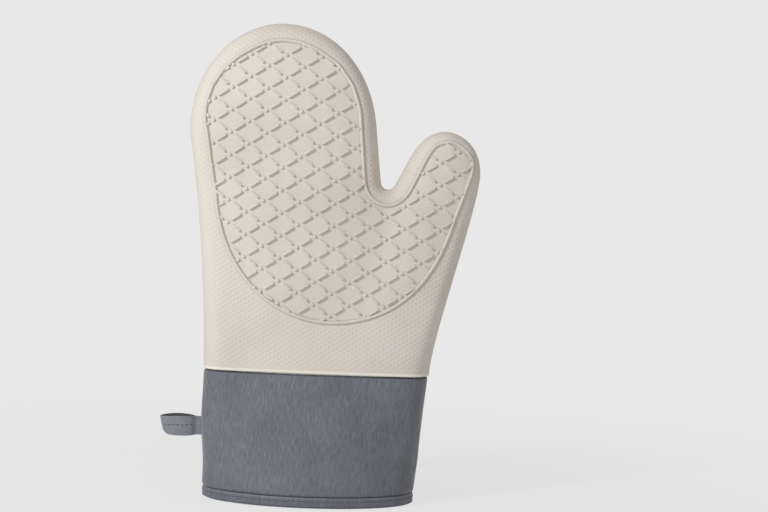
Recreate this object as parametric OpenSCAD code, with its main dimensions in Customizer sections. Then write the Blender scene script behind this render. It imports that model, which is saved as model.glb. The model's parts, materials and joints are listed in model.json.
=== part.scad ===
// Silicone oven mitt with a quilted liner, a canvas cuff and a hanging loop.
// +Z runs from the hem to the fingertips, the palm faces -Y, the thumb points to +X.
// The origin is under the middle of the whole mitt, on the plane that the hem stands on.

/* [Overall outline] */
// Height from the hem to the fingertips
mitt_h = 337; // [310:1:360]
// Height of the canvas cuff
cuff_h = 91; // [70:1:110]
// Width of the mitt where the silicone meets the cuff
wrist_w = 160; // [145:1:170]
// Width of the mouth, across the hem
mouth_w = 151; // [135:1:165]
// Depth of the open mouth, front to back
mouth_d = 80; // [60:1:90]
// Sideways shift of the mouth's middle from the wrist's middle
mouth_shift = -3; // [-6:0.5:6]

/* [Fingers] */
// Width across the finger pocket
fingers_w = 133; // [120:1:145]
// Sideways place of the finger pocket's middle
fingers_x = -29.5; // [-36:0.5:-22]
// Sideways place of the fingertip's crest
fingertip_x = -30; // [-38:1:-22]
// Height of the finger pocket's widest level
fingers_z = 262; // [252:1:270]

/* [Thumb] */
// Sideways reach of the thumb from the wrist's middle
thumb_reach = 111; // [100:0.5:120]
// Height of the thumb's tip
thumb_top = 265; // [255:1:275]
// Half width of the thumb's round tip
thumb_tip_rx = 27; // [23:0.5:29]
// Height of the thumb's round tip
thumb_tip_rz = 29; // [22:0.5:33]
// Height of the crotch between thumb and fingers
crotch_z = 221.5; // [212:0.5:230]
// Radius of the crotch
crotch_r = 5.5; // [4:0.5:8]

/* [Cross-section] */
// Half depth of the mitt along the panel's edge
edge_depth = 19; // [16:0.5:23]
// Half depth at the fingertip's panel edge
fingertip_depth = 16; // [13:0.5:20]
// Half depth along the thumb's panel edge
thumb_depth = 16.5; // [14:0.5:20]
// Rise of the face from its edges to its middle
crown = 5; // [2:0.5:7]
// Rise of the face at the wrist
wrist_crown = 3; // [1:0.5:6]
// Width of the rolled rim beside the panel
rim_side = 16; // [13:0.5:19]
// Width of the rolled rim between the panel and the thumb side of the fingers
rim_inner = 12; // [10:0.5:15]
// Width of the rolled rim along the inner side of the thumb
rim_thumb_inner = 10.5; // [9:0.5:13]
// Width of the rolled rim along the outer side of the thumb
rim_thumb_outer = 5.5; // [5:0.5:9]

/* [Layers] */
// Thickness of the silicone
silicone_t = 2; // [1.8:0.1:3]
// Thickness of the wadding
wadding_t = 3.4; // [2:0.1:5]
// Thickness of the cotton lining
lining_t = 0.8; // [0.5:0.1:1.2]
// Thickness of the cuff's doubled canvas
canvas_t = 1.8; // [1:0.1:2]
// Space left between two layers
layer_gap = 0.1; // [0.05:0.05:0.2]

/* [Hem] */
// Height of the hem binding
hem_h = 8; // [6:0.5:12]
// Thickness of the hem binding's folded tape
hem_t = 0.9; // [0.6:0.1:1.4]

/* [Grip panel] */
// Width of the raised bead round the panel
bead_w = 2.6; // [2:0.1:3.4]
// Height of the bead above the face
bead_h = 1.1; // [0.8:0.1:1.6]
// Height of the bead's lowest point
bead_low_z = 125; // [118:1:132]
// Sideways place of the bead's lowest point
bead_low_x = 13; // [0:1:26]

/* [Grip lattice] */
// Width of one lattice diamond
diamond_w = 24.5; // [22:0.5:30]
// Height of one lattice diamond
diamond_h = 15.7; // [14:0.1:20]
// Length of a grip rib
rib_l = 8; // [6:0.1:9]
// Width of a grip rib at the face
rib_w = 1.8; // [1.2:0.1:2.4]
// Height of a grip rib
rib_h = 1.1; // [0.6:0.1:1.4]
// Clear width between the lattice and the bead
panel_margin = 2.2; // [1:0.1:4]

/* [Hanging loop] */
// Reach of the loop beyond the cuff
loop_l = 31; // [24:0.5:40]
// Width of the loop's tape
loop_w = 13.5; // [10:0.5:18]
// Thickness of the loop's tape
tape_t = 1.3; // [0.9:0.1:1.8]
// Depth of the opened loop, over both tapes
loop_d = 11; // [8:0.5:14]
// Height of the loop's middle
loop_z = 49; // [35:1:60]
// Space between the loop's root and the cuff
loop_gap = 0.3; // [0.2:0.05:0.5]

/* [Hidden] */

// Mesh steps: wrist to crotch, crotch to fingertip, crotch to thumb tip, round the rim,
// across the fingers, across the thumb, down the cuff
palm_n = 6;
fingers_n = 11;
thumb_n = 8;
rim_n = 4;
fingers_cols = 6;
thumb_cols = 4;
cuff_n = 3;
cols = fingers_cols + thumb_cols;

// Places of the outline's named points, counted along the rim from the wrist's left end
k_tip = palm_n + fingers_n;
k_crotch = k_tip + fingers_n;
k_thumb = k_crotch + thumb_n;
k_base = k_thumb + thumb_n;
k_last = k_base + palm_n;
rim_pts = k_last + 1;

// Depths of the layers under the outer surface
silicone_in = silicone_t;
wadding_out = silicone_in + layer_gap;
wadding_in = wadding_out + wadding_t;
lining_out = wadding_in + layer_gap;
lining_in = lining_out + lining_t;
canvas_out = silicone_in - canvas_t;
hem_out = canvas_out - layer_gap - hem_t;
hem_in = lining_in + layer_gap + hem_t;
min_roll = 3;

// The cuff flares from the wrist down to this level and runs straight through the hem
flare_end = hem_h + 1;
layers_end = hem_t + layer_gap;

function mix(a, b, t) = a + (b - a) * t;
function smooth(t) = t * t * (3 - 2 * t);
function unit(v) = v / norm(v);
function flat(l) = [for (a = l) for (b = a) b];
function hermite(p, dp, q, dq, t) =
    p * (2 * pow(t, 3) - 3 * pow(t, 2) + 1) + dp * (pow(t, 3) - 2 * pow(t, 2) + t)
    + q * (3 * pow(t, 2) - 2 * pow(t, 3)) + dq * (pow(t, 3) - pow(t, 2));
function arc(c, rx, rz, from, to, t) =
    c + [rx * cos(mix(from, to, t)), rz * sin(mix(from, to, t))];

// ---- The outline, in the plane between palm and back ----
// The fingers' inner side: its widest point lies lower than the outer side's by inner_drop,
// and it leans out by inner_lean on its way down to the crotch
inner_drop = 4;
inner_lean = 3.5;
// Angles where the crotch's arc ends and where the thumb's round tip is divided
web_a = 326;
thumb_tip_a = 50;
// Tangents of the sides, of the thumb's inner side and of its tip
wrist_pull = [-5.5, 310];
fingers_pull = [0, 20];
thumb_pull = [0, -76];
web_pull = [28, 46];
tip_pull = [58, 0];
// Shares of the left side below the panel's widest level, and of the right side above it
left_share = 0.5;
base_t = 0.3;
wrist_l = [-wrist_w / 2, cuff_h];
wrist_r = [wrist_w / 2, cuff_h];
fingers_l = [fingers_x - fingers_w / 2, fingers_z];
fingers_r = [fingers_x + fingers_w / 2, fingers_z - inner_drop];
tip = [fingertip_x, mitt_h];
crotch_c = [fingers_r[0] + inner_lean + crotch_r, crotch_z + crotch_r];
thumb_c = [thumb_reach - thumb_tip_rx, thumb_top - thumb_tip_rz];
web_end = arc(crotch_c, crotch_r, crotch_r, 270, web_a, 1);

function left_side(t) = hermite(wrist_l, wrist_pull, fingers_l, fingers_pull, t);
function right_side(t) =
    hermite(thumb_c + [thumb_tip_rx, 0], thumb_pull, wrist_r, thumb_pull, t);
function thumb_inner(t) =
    hermite(web_end, web_pull, thumb_c + [0, thumb_tip_rz], tip_pull, t);

function steps(from, to) = [for (i = [from : to]) i];
outline = concat(
    [for (i = steps(0, palm_n - 1)) left_side(left_share * i / palm_n)],
    [for (i = steps(0, 3)) left_side(mix(left_share, 1, i / 4))],
    [for (i = steps(0, 6)) arc([tip[0], fingers_z], tip[0] - fingers_l[0],
        mitt_h - fingers_z, 180, 90, i / 7)],
    [for (i = steps(0, 5)) arc([tip[0], fingers_r[1]], fingers_r[0] - tip[0],
        mitt_h - fingers_r[1], 90, 0, i / 6)],
    [for (i = steps(0, 1)) mix(fingers_r, crotch_c - [crotch_r, 0], i / 2)],
    [for (i = steps(0, 2)) arc(crotch_c, crotch_r, crotch_r, 180, 270, i / 3)],
    [for (i = steps(0, 1)) arc(crotch_c, crotch_r, crotch_r, 270, web_a, i / 2)],
    [for (i = steps(0, 3)) thumb_inner(i / 4)],
    [for (i = steps(0, 1)) arc(thumb_c, thumb_tip_rx, thumb_tip_rz, 90, thumb_tip_a, i / 2)],
    [for (i = steps(0, 2)) arc(thumb_c, thumb_tip_rx, thumb_tip_rz, thumb_tip_a, 0, i / 3)],
    [for (i = steps(0, 4)) right_side(base_t * i / 5)],
    [for (i = steps(0, palm_n)) right_side(mix(base_t, 1, i / palm_n))]
);

// Inward direction at each point of the outline
inward = [
    for (k = steps(0, k_last))
        let (d = outline[min(k + 1, k_last)] - outline[max(k - 1, 0)])
            k == 0 ? [1, 0] : k == k_last ? [-1, 0] : unit([d[1], -d[0]])
];

// Values set at chosen places of the outline and blended between them
function along(keys, k) =
    let (i = max([for (j = [0 : len(keys) - 2]) if (keys[j][0] <= k) j]))
        mix(keys[i][1], keys[i + 1][1], (k - keys[i][0]) / (keys[i + 1][0] - keys[i][0]));
rim_keys = [
    [0, rim_side], [k_tip, rim_side], [k_tip + 6, rim_inner], [k_crotch, rim_inner],
    [k_crotch + 4, rim_thumb_inner], [k_thumb + 2, rim_thumb_outer], [k_base, rim_inner],
    [k_last, rim_side]
];
depth_keys = [
    [0, edge_depth], [palm_n + 4, edge_depth], [k_tip, fingertip_depth],
    [k_tip + 6, edge_depth - 0.5], [k_crotch, thumb_depth], [k_thumb - 2, thumb_depth],
    [k_thumb, thumb_depth - 2], [k_thumb + 3, thumb_depth], [k_base, thumb_depth + 1],
    [k_last, edge_depth]
];
rim_w = [for (k = steps(0, k_last)) along(rim_keys, k)];
depth = [for (k = steps(0, k_last)) along(depth_keys, k)];

// ---- One surface of the mitt's palm side, a deep under the outer skin ----
// Rolled rim: ring 0 lies in the middle plane, ring rim_n on the panel's edge
function rim_pt(k, j, a, split) =
    let (
        f = 90 * j / rim_n,
        roll = max(rim_w[k] - a, min_roll),
        p = outline[k] + inward[k] * (a + roll * (1 - cos(f)))
    ) [p[0], -max((depth[k] - a) * sin(f), split), p[1]];
function edge_xz(k, a) = let (p = rim_pt(k, rim_n, a, 0)) [p[0], p[2]];

// Rise of the face over its edges, u from 0 to 1 across. The thumb's face rises less, and
// the line between the fingers' and the thumb's share starts at thumb_root across the wrist
function hump(u) = 4 * u * (1 - u);
function tip_fade(t) = pow(1 - t * t, 1.5);
thumb_rise = 0.6;
thumb_root = 0.7;
split_col = fingers_cols / cols;
function palm_hump(i, u) =
    let (
        w = smooth(i / palm_n),
        two = u < split_col
            ? hump(u / split_col) : thumb_rise * hump((u - split_col) / (1 - split_col))
    ) mix(wrist_crown, crown, w) * mix(hump(u), two, w);

// A point of the face between edge points p and q, with depths dp and dq
function face_pt(p, q, dp, dq, u, rise, a) =
    let (c = mix(p, q, u)) [c[0], -(mix(dp, dq, u) + rise - a), c[1]];
function palm_pt(i, c, a) =
    let (
        l = edge_xz(i, a), r = edge_xz(k_last - i, a),
        m0 = mix(edge_xz(0, a), edge_xz(k_last, a), thumb_root),
        m = mix(m0, edge_xz(k_crotch, a), i / palm_n),
        dm = mix(mix(depth[0], depth[k_last], thumb_root), depth[k_crotch], i / palm_n),
        rise = palm_hump(i, c / cols)
    ) c <= fingers_cols
        ? face_pt(l, m, depth[i], dm, c / fingers_cols, rise, a)
        : face_pt(m, r, dm, depth[k_last - i], (c - fingers_cols) / thumb_cols, rise, a);
function fingers_pt(i, c, a) =
    let (l = palm_n + i, r = k_crotch - i, u = c / fingers_cols)
        face_pt(edge_xz(l, a), edge_xz(r, a), depth[l], depth[r], u,
            crown * hump(u) * tip_fade(i / fingers_n), a);
function thumb_pt(i, c, a) =
    let (l = k_crotch + i, r = k_base - i, u = c / thumb_cols)
        face_pt(edge_xz(l, a), edge_xz(r, a), depth[l], depth[r], u,
            thumb_rise * crown * hump(u) * tip_fade(i / thumb_n), a);

function hand_pts(a, split = 0) = concat(
    [for (k = steps(0, k_last)) for (j = steps(0, rim_n)) rim_pt(k, j, a, split)],
    [for (i = steps(0, palm_n)) for (c = steps(1, cols - 1))
        if (i < palm_n || c != fingers_cols) palm_pt(i, c, a)],
    [for (i = steps(1, fingers_n - 1)) for (c = steps(1, fingers_cols - 1)) fingers_pt(i, c, a)],
    [for (i = steps(1, thumb_n - 1)) for (c = steps(1, thumb_cols - 1)) thumb_pt(i, c, a)]
);

// Numbers of those points in the list
palm_0 = rim_pts * (rim_n + 1);
fingers_0 = palm_0 + (palm_n + 1) * (cols - 1) - 1;
thumb_0 = fingers_0 + (fingers_n - 1) * (fingers_cols - 1);
hand_n = thumb_0 + (thumb_n - 1) * (thumb_cols - 1);
function rim_i(k, j) = k * (rim_n + 1) + j;
function palm_i(i, c) =
    c == 0 ? rim_i(i, rim_n) : c == cols ? rim_i(k_last - i, rim_n)
    : i == palm_n && c == fingers_cols ? rim_i(k_crotch, rim_n)
    : palm_0 + i * (cols - 1) + c - (i == palm_n && c > fingers_cols ? 2 : 1);
function fingers_i(i, c) =
    i == 0 ? palm_i(palm_n, c) : c == 0 ? rim_i(palm_n + i, rim_n)
    : c == fingers_cols ? rim_i(k_crotch - i, rim_n)
    : fingers_0 + (i - 1) * (fingers_cols - 1) + c - 1;
function thumb_i(i, c) =
    i == 0 ? palm_i(palm_n, fingers_cols + c) : c == 0 ? rim_i(k_crotch + i, rim_n)
    : c == thumb_cols ? rim_i(k_base - i, rim_n)
    : thumb_0 + (i - 1) * (thumb_cols - 1) + c - 1;

// The wrist's edge of a hand surface, left to right, and the cuff's rows below it
row_n = 2 * (rim_n + 1) + cols - 1;
function wrist_i(p) =
    p <= rim_n ? rim_i(0, p)
    : p >= row_n - 1 - rim_n ? rim_i(k_last, row_n - 1 - p) : palm_i(0, p - rim_n);
function cuff_i(r, p) = r == 0 ? wrist_i(p) : hand_n + (r - 1) * row_n + p;
function wrist_row(hand) = [for (p = steps(0, row_n - 1)) hand[wrist_i(p)]];
across = [for (w = wrist_row(hand_pts(0))) w[0] / (wrist_w / 2)];
function mouth_pt(u, a, split) =
    [mouth_shift + u * (mouth_w / 2 - a), -max((mouth_d / 2 - a) * sqrt(1 - u * u), split)];
function cuff_row(wrist, a, z, split) =
    let (t = min(1, (cuff_h - z) / (cuff_h - flare_end)))
        [for (p = steps(0, row_n - 1))
            let (c = mix([wrist[p][0], wrist[p][1]], mouth_pt(across[p], a, split), t))
                [c[0], c[1], z]];
function cuff_levels(top) =
    concat([for (r = steps(0, cuff_n - 1)) mix(top, flare_end, r / (cuff_n - 1))], [layers_end]);
function full_pts(a, split = 0) =
    let (hand = hand_pts(a, split), wrist = wrist_row(hand), levels = cuff_levels(cuff_h))
        concat(hand, flat([for (r = steps(1, cuff_n)) cuff_row(wrist, a, levels[r], split)]));

// ---- Triangles ----
function two(a, b, c, d) = [[a, b, c], [a, c, d]];
function grid(rows, cells, id) =
    flat([for (i = steps(0, rows - 1)) for (c = steps(0, cells - 1))
        two(id(i, c), id(i + 1, c), id(i + 1, c + 1), id(i, c + 1))]);
function shifted(tris, n) = [for (t = tris) [t[0] + n, t[1] + n, t[2] + n]];
function flipped(tris) = [for (t = tris) [t[2], t[1], t[0]]];
function mirrored(pts) = [for (p = pts) [p[0], -p[1], p[2]]];

face_tris = concat(
    grid(palm_n, cols, function (i, c) palm_i(i, c)),
    grid(fingers_n - 1, fingers_cols, function (i, c) fingers_i(i, c)),
    [for (c = steps(0, fingers_cols - 1))
        [fingers_i(fingers_n - 1, c), rim_i(k_tip, rim_n), fingers_i(fingers_n - 1, c + 1)]],
    grid(thumb_n - 1, thumb_cols, function (i, c) thumb_i(i, c)),
    [for (c = steps(0, thumb_cols - 1))
        [thumb_i(thumb_n - 1, c), rim_i(k_thumb, rim_n), thumb_i(thumb_n - 1, c + 1)]]
);
hand_tris = concat(grid(k_last, rim_n, function (k, j) rim_i(k, j)), face_tris);
cuff_tris = grid(cuff_n, row_n - 1, function (r, p) cuff_i(cuff_n - r, p));
full_tris = concat(hand_tris, cuff_tris);

// A strip between two lists of point numbers
function strip(a, b) =
    flat([for (i = steps(0, len(a) - 2)) two(a[i], a[i + 1], b[i + 1], b[i])]);
function plus(l, n) = [for (v = l) v + n];

// Palm half of a layer between depths a and b, from the fingertips down into the hem
module half_layer(a, b, split) {
    outer = full_pts(a, split);
    inner = full_pts(b, split);
    n = len(outer);
    side = concat(
        [for (r = steps(0, cuff_n - 1)) cuff_i(cuff_n - r, 0)],
        [for (k = steps(0, k_last)) rim_i(k, 0)],
        [for (r = steps(1, cuff_n)) cuff_i(r, row_n - 1)]
    );
    end = [for (p = steps(0, row_n - 1)) cuff_i(cuff_n, p)];
    polyhedron(concat(outer, inner), concat(
        full_tris, flipped(shifted(full_tris, n)),
        strip(plus(side, n), side), strip(end, plus(end, n))
    ), convexity = 8);
}

// Palm half of a band of the cuff between depths a and b, from z_top down into the hem
module half_band(a, b, z_top, split) {
    wrist_a = wrist_row(hand_pts(a, split));
    wrist_b = wrist_row(hand_pts(b, split));
    levels = cuff_levels(z_top);
    outer = flat([for (z = levels) cuff_row(wrist_a, a, z, split)]);
    inner = flat([for (z = levels) cuff_row(wrist_b, b, z, split)]);
    n = len(outer);
    id = function (r, p) r * row_n + p;
    face = grid(cuff_n, row_n - 1, function (r, p) id(cuff_n - r, p));
    top = [for (p = steps(0, row_n - 1)) id(0, p)];
    end = [for (p = steps(0, row_n - 1)) id(cuff_n, p)];
    left = [for (r = steps(0, cuff_n)) id(cuff_n - r, 0)];
    right = [for (r = steps(0, cuff_n)) id(r, row_n - 1)];
    polyhedron(concat(outer, inner), concat(
        face, flipped(shifted(face, n)),
        strip(plus(top, n), top), strip(end, plus(end, n)),
        strip(plus(left, n), left), strip(plus(right, n), right)
    ), convexity = 6);
}

// ---- Silicone ----
module silicone_skin() {
    outer = hand_pts(0);
    inner = hand_pts(silicone_in);
    n = len(outer);
    wrist = [for (p = steps(0, row_n - 1)) wrist_i(p)];
    half = concat(hand_tris, flipped(shifted(hand_tris, n)), strip(wrist, plus(wrist, n)));
    pts = concat(outer, inner);
    polyhedron(concat(pts, mirrored(pts)),
        concat(half, flipped(shifted(half, 2 * n))), convexity = 10);
}

// Depth of the palm side at a place of the outline's plane, found in the skin's own triangles
function cross2(a, b) = a[0] * b[1] - a[1] * b[0];
function xz(p) = [p[0], p[2]];
function in_tri(p, a, b, c) =
    let (s = cross2(b - a, p - a), t = cross2(c - b, p - b), u = cross2(a - c, p - c))
        (s <= 0 && t <= 0 && u <= 0) || (s >= 0 && t >= 0 && u >= 0);
function tri_y(p, a, b, c) =
    let (n = cross(b - a, c - a)) a[1] - (n[0] * (p[0] - a[0]) + n[2] * (p[1] - a[2])) / n[1];
function face_y(p, pts, tris = hand_tris) =
    let (hits = [
        for (t = tris)
            if (in_tri(p, xz(pts[t[0]]), xz(pts[t[1]]), xz(pts[t[2]])))
                tri_y(p, pts[t[0]], pts[t[1]], pts[t[2]])
    ]) len(hits) > 0 ? hits[0] : undef;

// The bead follows the panel's edge round the fingers, the crotch and the thumb, and
// crosses the palm in a deep curve
bead_l = palm_n;
bead_r = k_base;
bead_low = [bead_low_x, bead_low_z];
bead_n = 10;
bead_down = [-50, -175];
bead_across = [-105, 0];
bead_up = [-48, 185];
palm_curve = concat(
    [for (i = steps(1, bead_n))
        hermite(edge_xz(bead_r, 0), bead_down, bead_low, bead_across, i / bead_n)],
    [for (i = steps(1, bead_n - 1))
        hermite(bead_low, bead_across, edge_xz(bead_l, 0), bead_up, i / bead_n)]
);
bead_path = concat([for (k = steps(bead_l, bead_r)) edge_xz(k, 0)], palm_curve);

// A closed round tube along a ring of points, its top a given height over them and its foot
// cut off inside the wall
tube_sides = 6;
tube_foot = -0.35 * silicone_t;
module ring_tube(path, d, rise) {
    n = len(path);
    out = [0, -1, 0];
    pts = flat([
        for (i = steps(0, n - 1))
            let (
                t = unit(path[(i + 1) % n] - path[(i + n - 1) % n]),
                u = unit(out - t * (out * t)), v = cross(t, u)
            ) [for (s = steps(0, tube_sides - 1))
                let (a = 360 * s / tube_sides + 30, up = rise - d / 2 * (1 - sin(a)))
                    path[i] + v * d / 2 * cos(a) + u * max(up, tube_foot)]
    ]);
    id = function (i, s) (i % n) * tube_sides + s % tube_sides;
    polyhedron(pts, flipped(grid(n, tube_sides, function (i, s) id(i, s))), convexity = 10);
}

module grip_bead() {
    pts = hand_pts(0);
    bead = concat([for (k = steps(bead_l, bead_r)) rim_pt(k, rim_n, 0, 0)],
        [for (p = palm_curve) [p[0], face_y(p, pts), p[1]]]);
    ring_tube(bead, bead_w, bead_h);
}

// Distance from a point to a piece of line, and whether a point lies inside the bead
function seg_gap(p, a, b) =
    let (d = b - a, t = max(0, min(1, ((p - a) * d) / (d * d)))) norm(p - a - d * t);
function crossed(p, a, b) =
    (a[1] > p[1]) != (b[1] > p[1]) && p[0] < mix(a[0], b[0], (p[1] - a[1]) / (b[1] - a[1]));
bead_pairs = [for (i = steps(0, len(bead_path) - 1))
    [bead_path[i], bead_path[(i + 1) % len(bead_path)]]];
function on_panel(p) =
    len([for (s = bead_pairs) if (crossed(p, s[0], s[1])) s]) % 2 == 1
    && min([for (s = bead_pairs) seg_gap(p, s[0], s[1])]) > bead_w / 2 + panel_margin;

// The lattice is a grid of diamonds. Each side of a diamond is a rib, with a clear space at
// both ends, and every rib is a ridge that slopes down at its four sides
lattice_at = [-40.4, 194.4];
lattice_reach = 16;
step_up = [diamond_w / 2, diamond_h / 2];
step_down = [diamond_w / 2, -diamond_h / 2];
lattice_nodes = [
    for (i = steps(-lattice_reach, lattice_reach)) for (j = steps(-lattice_reach, lattice_reach))
        let (p = lattice_at + i * step_up + j * step_down)
            if (abs(p[0]) < thumb_reach && p[1] > cuff_h && p[1] < mitt_h) p
];
rib_foot = 0.4;
rib_slope = 0.9;
rib_ends = [
    for (p = lattice_nodes) for (d = [step_up, step_down])
        let (c = p + d / 2, h = unit(d) * (rib_l / 2 - rib_slope))
            if (on_panel(c - h) && on_panel(c + h)) [c - h, c + h]
];
function rib_end(p, out, y, lean) =
    let (
        grow = 1 + rib_foot / rib_h,
        side = [-out[1], out[0]] * grow * rib_w / 2,
        foot = p + out * grow * rib_slope,
        foot_y = y + lean * grow * rib_slope + rib_foot,
        a = foot + side, b = foot - side
    ) [[a[0], foot_y, a[1]], [b[0], foot_y, b[1]], [p[0], y - rib_h, p[1]]];
function rib_pts(p, q, pts) =
    let (
        out = unit(q - p),
        p_y = face_y(p, pts, face_tris), q_y = face_y(q, pts, face_tris),
        lean = (q_y - p_y) / norm(q - p)
    ) concat(rib_end(p, -out, p_y, -lean), rib_end(q, out, q_y, lean));
rib_faces = [[0, 1, 2], [3, 4, 5], [1, 0, 4, 3], [2, 1, 3, 5], [0, 2, 5, 4]];
module grip_lattice() {
    pts = hand_pts(0);
    polyhedron(flat([for (e = rib_ends) rib_pts(e[0], e[1], pts)]), [
        for (i = steps(0, len(rib_ends) - 1)) for (f = rib_faces) [for (k = f) k + 6 * i]
    ], convexity = 10);
}

// ---- Placing: the origin is under the middle of the whole mitt ----
function cuff_side(z) =
    mix(wrist_w / 2, mouth_w / 2 - mouth_shift, (cuff_h - z) / (cuff_h - flare_end)) - canvas_out;
cuff_side_x = -max(cuff_side(loop_z - loop_w / 2), cuff_side(loop_z + loop_w / 2));
root_r = tape_t + 0.2;
pivot_x = cuff_side_x - loop_gap - root_r;
middle_x = (thumb_reach + cuff_side_x - loop_l) / 2;
module placed() {
    translate([-middle_x, 0, 0]) children();
}

module silicone_shell() {
    color("#ddd4c8") placed() {
        silicone_skin();
        grip_bead();
        grip_lattice();
        mirror([0, 1, 0]) grip_bead();
        mirror([0, 1, 0]) grip_lattice();
    }
}

// ---- Liner ----
module wadding() {
    placed() half_layer(wadding_out, wadding_in, layer_gap / 2);
}
module palm_wadding() {
    color("#f2efe6") wadding();
}
module back_wadding() {
    color("#f2efe6") mirror([0, 1, 0]) wadding();
}
module lining() {
    placed() half_layer(lining_out, lining_in, layer_gap / 2);
}
module palm_lining() {
    color("#b9bcc2") lining();
}
module back_lining() {
    color("#b9bcc2") mirror([0, 1, 0]) lining();
}

// ---- Cuff ----
module cuff() {
    placed() half_band(canvas_out, silicone_in, cuff_h - layer_gap, layer_gap / 2);
}
module palm_cuff() {
    color("#70747a") cuff();
}
module back_cuff() {
    color("#70747a") mirror([0, 1, 0]) cuff();
}

// The mouth's outline, a deep under the outer surface
module mouth(a) {
    front = [for (u = across) mouth_pt(u, a, 0)];
    back = [for (i = steps(1, row_n - 2)) [front[row_n - 1 - i][0], -front[row_n - 1 - i][1]]];
    polygon(concat(front, back));
}
module mouth_ring(a, b, h) {
    linear_extrude(h)
        difference() {
            mouth(a);
            mouth(b);
        }
}
module hem_binding() {
    color("#5d6066") placed()
        difference() {
            mouth_ring(hem_out, hem_in, hem_h);
            translate([0, 0, hem_t])
                mouth_ring(hem_out + hem_t, hem_in - hem_t, hem_h);
        }
}

// ---- Hanging loop: a tape folded in two, its root at the side seam of the cuff ----
loop_steps = 40;
stitched = 3.5;
module teardrop(from, to, half_d) {
    polygon([
        for (i = steps(0, loop_steps - 1))
            let (a = 360 * i / loop_steps)
                [-mix(from, to, (1 - cos(a)) / 2), half_d * sin(a) * sqrt(abs(sin(a / 2)))]
    ]);
}
module hanging_loop() {
    reach = loop_l - loop_gap - root_r;
    color("#8a8d92") placed()
        translate([pivot_x, 0, loop_z - loop_w / 2])
            linear_extrude(loop_w)
                difference() {
                    union() {
                        circle(r = root_r, $fn = 48);
                        teardrop(-root_r / 2, reach, loop_d / 2);
                    }
                    teardrop(stitched, reach - tape_t, loop_d / 2 - tape_t);
                }
}

silicone_shell();
palm_wadding();
back_wadding();
palm_lining();
back_lining();
palm_cuff();
back_cuff();
hem_binding();
hanging_loop();
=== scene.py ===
"""Silicone oven mitt with a quilted liner, a canvas cuff and a hanging loop.

The looks of every piece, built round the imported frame. Lengths are millimetres until a mesh
is made. +Z runs from the hem to the fingertips, the palm faces -Y, the thumb points to +X.
"""
import json
import math
from collections import namedtuple
from functools import lru_cache, partial

import bpy
import numpy as np
from mathutils import Matrix, Vector

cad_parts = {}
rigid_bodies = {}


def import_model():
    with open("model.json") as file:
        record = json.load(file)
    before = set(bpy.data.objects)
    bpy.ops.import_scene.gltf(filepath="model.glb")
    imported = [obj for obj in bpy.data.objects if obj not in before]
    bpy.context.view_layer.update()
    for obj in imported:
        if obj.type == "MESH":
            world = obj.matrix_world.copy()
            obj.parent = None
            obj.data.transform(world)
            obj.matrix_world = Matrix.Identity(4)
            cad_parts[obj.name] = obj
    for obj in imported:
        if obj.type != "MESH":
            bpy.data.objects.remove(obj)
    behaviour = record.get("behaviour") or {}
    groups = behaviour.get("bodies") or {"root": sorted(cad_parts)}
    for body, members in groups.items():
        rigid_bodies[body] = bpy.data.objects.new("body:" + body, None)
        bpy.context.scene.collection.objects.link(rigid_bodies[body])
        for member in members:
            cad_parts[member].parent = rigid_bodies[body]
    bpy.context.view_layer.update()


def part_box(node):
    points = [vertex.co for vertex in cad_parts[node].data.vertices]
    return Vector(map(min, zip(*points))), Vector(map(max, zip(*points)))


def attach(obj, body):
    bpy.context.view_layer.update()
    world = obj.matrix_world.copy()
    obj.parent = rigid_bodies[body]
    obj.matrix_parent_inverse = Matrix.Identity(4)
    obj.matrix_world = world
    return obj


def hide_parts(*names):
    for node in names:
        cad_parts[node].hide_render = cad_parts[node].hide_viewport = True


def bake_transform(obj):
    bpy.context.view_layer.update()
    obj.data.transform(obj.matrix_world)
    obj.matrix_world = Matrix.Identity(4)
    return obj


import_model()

MM = 0.001


def box_mm(node):
    """Lowest and highest corner of a CAD node, in millimetres."""
    low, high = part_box(node)
    return np.array(low) / MM, np.array(high) / MM


# ---- Sizes ----
SHELL_LOW, SHELL_HIGH = box_mm("silicone_shell")
LOOP_LOW, LOOP_HIGH = box_mm("hanging_loop")

MITT_H = SHELL_HIGH[2]
CUFF_H = SHELL_LOW[2]
HEM_H = box_mm("hem_binding")[1][2]

# The outline is drawn round the wrist's middle, then moved left by MIDDLE_X into the frame
THUMB_REACH = 111.0
MIDDLE_X = THUMB_REACH - SHELL_HIGH[0]

WRIST_W = 160.0
MOUTH_W = 151.0
MOUTH_D = 80.0
MOUTH_SHIFT = -3.0

# The fingers end in a half oval. Their inner side starts lower, and leans out to the crotch.
FINGERS_W = 133.0
FINGERS_X = -29.5
FINGERTIP_X = -30.0
FINGERS_Z = 262.0
INNER_DROP = 4.0
INNER_LEAN = 3.5

THUMB_TOP = 265.0
THUMB_TIP_RX = 27.0
THUMB_TIP_RZ = 29.0
CROTCH_Z = 221.5
CROTCH_R = 5.5

# Half the mitt's depth at the face's edge, how far the face rises from there, and how wide
# the round from the middle plane to that edge is
EDGE_DEPTH = 19.0
FINGERTIP_DEPTH = 16.0
THUMB_DEPTH = 16.5
CROWN = 5.0
WRIST_CROWN = 3.0
THUMB_RISE = 0.6
THUMB_ROOT = 0.7
RIM_SIDE = 16.0
RIM_INNER = 12.0
RIM_THUMB_INNER = 10.5
RIM_THUMB_OUTER = 5.5
MIN_ROLL = 3.0

# Each layer's wall, and how far its outer face lies under the outer skin
SILICONE_T = 2.0
WADDING_OUT, WADDING_T = 2.1, 3.4
LINING_OUT, LINING_T = 5.6, 0.8
CANVAS_OUT, CANVAS_T = 0.2, 1.8

BEAD_W = 2.6
BEAD_H = 1.55
BEAD_LOW = np.array([9.0, 127.0])

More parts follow.
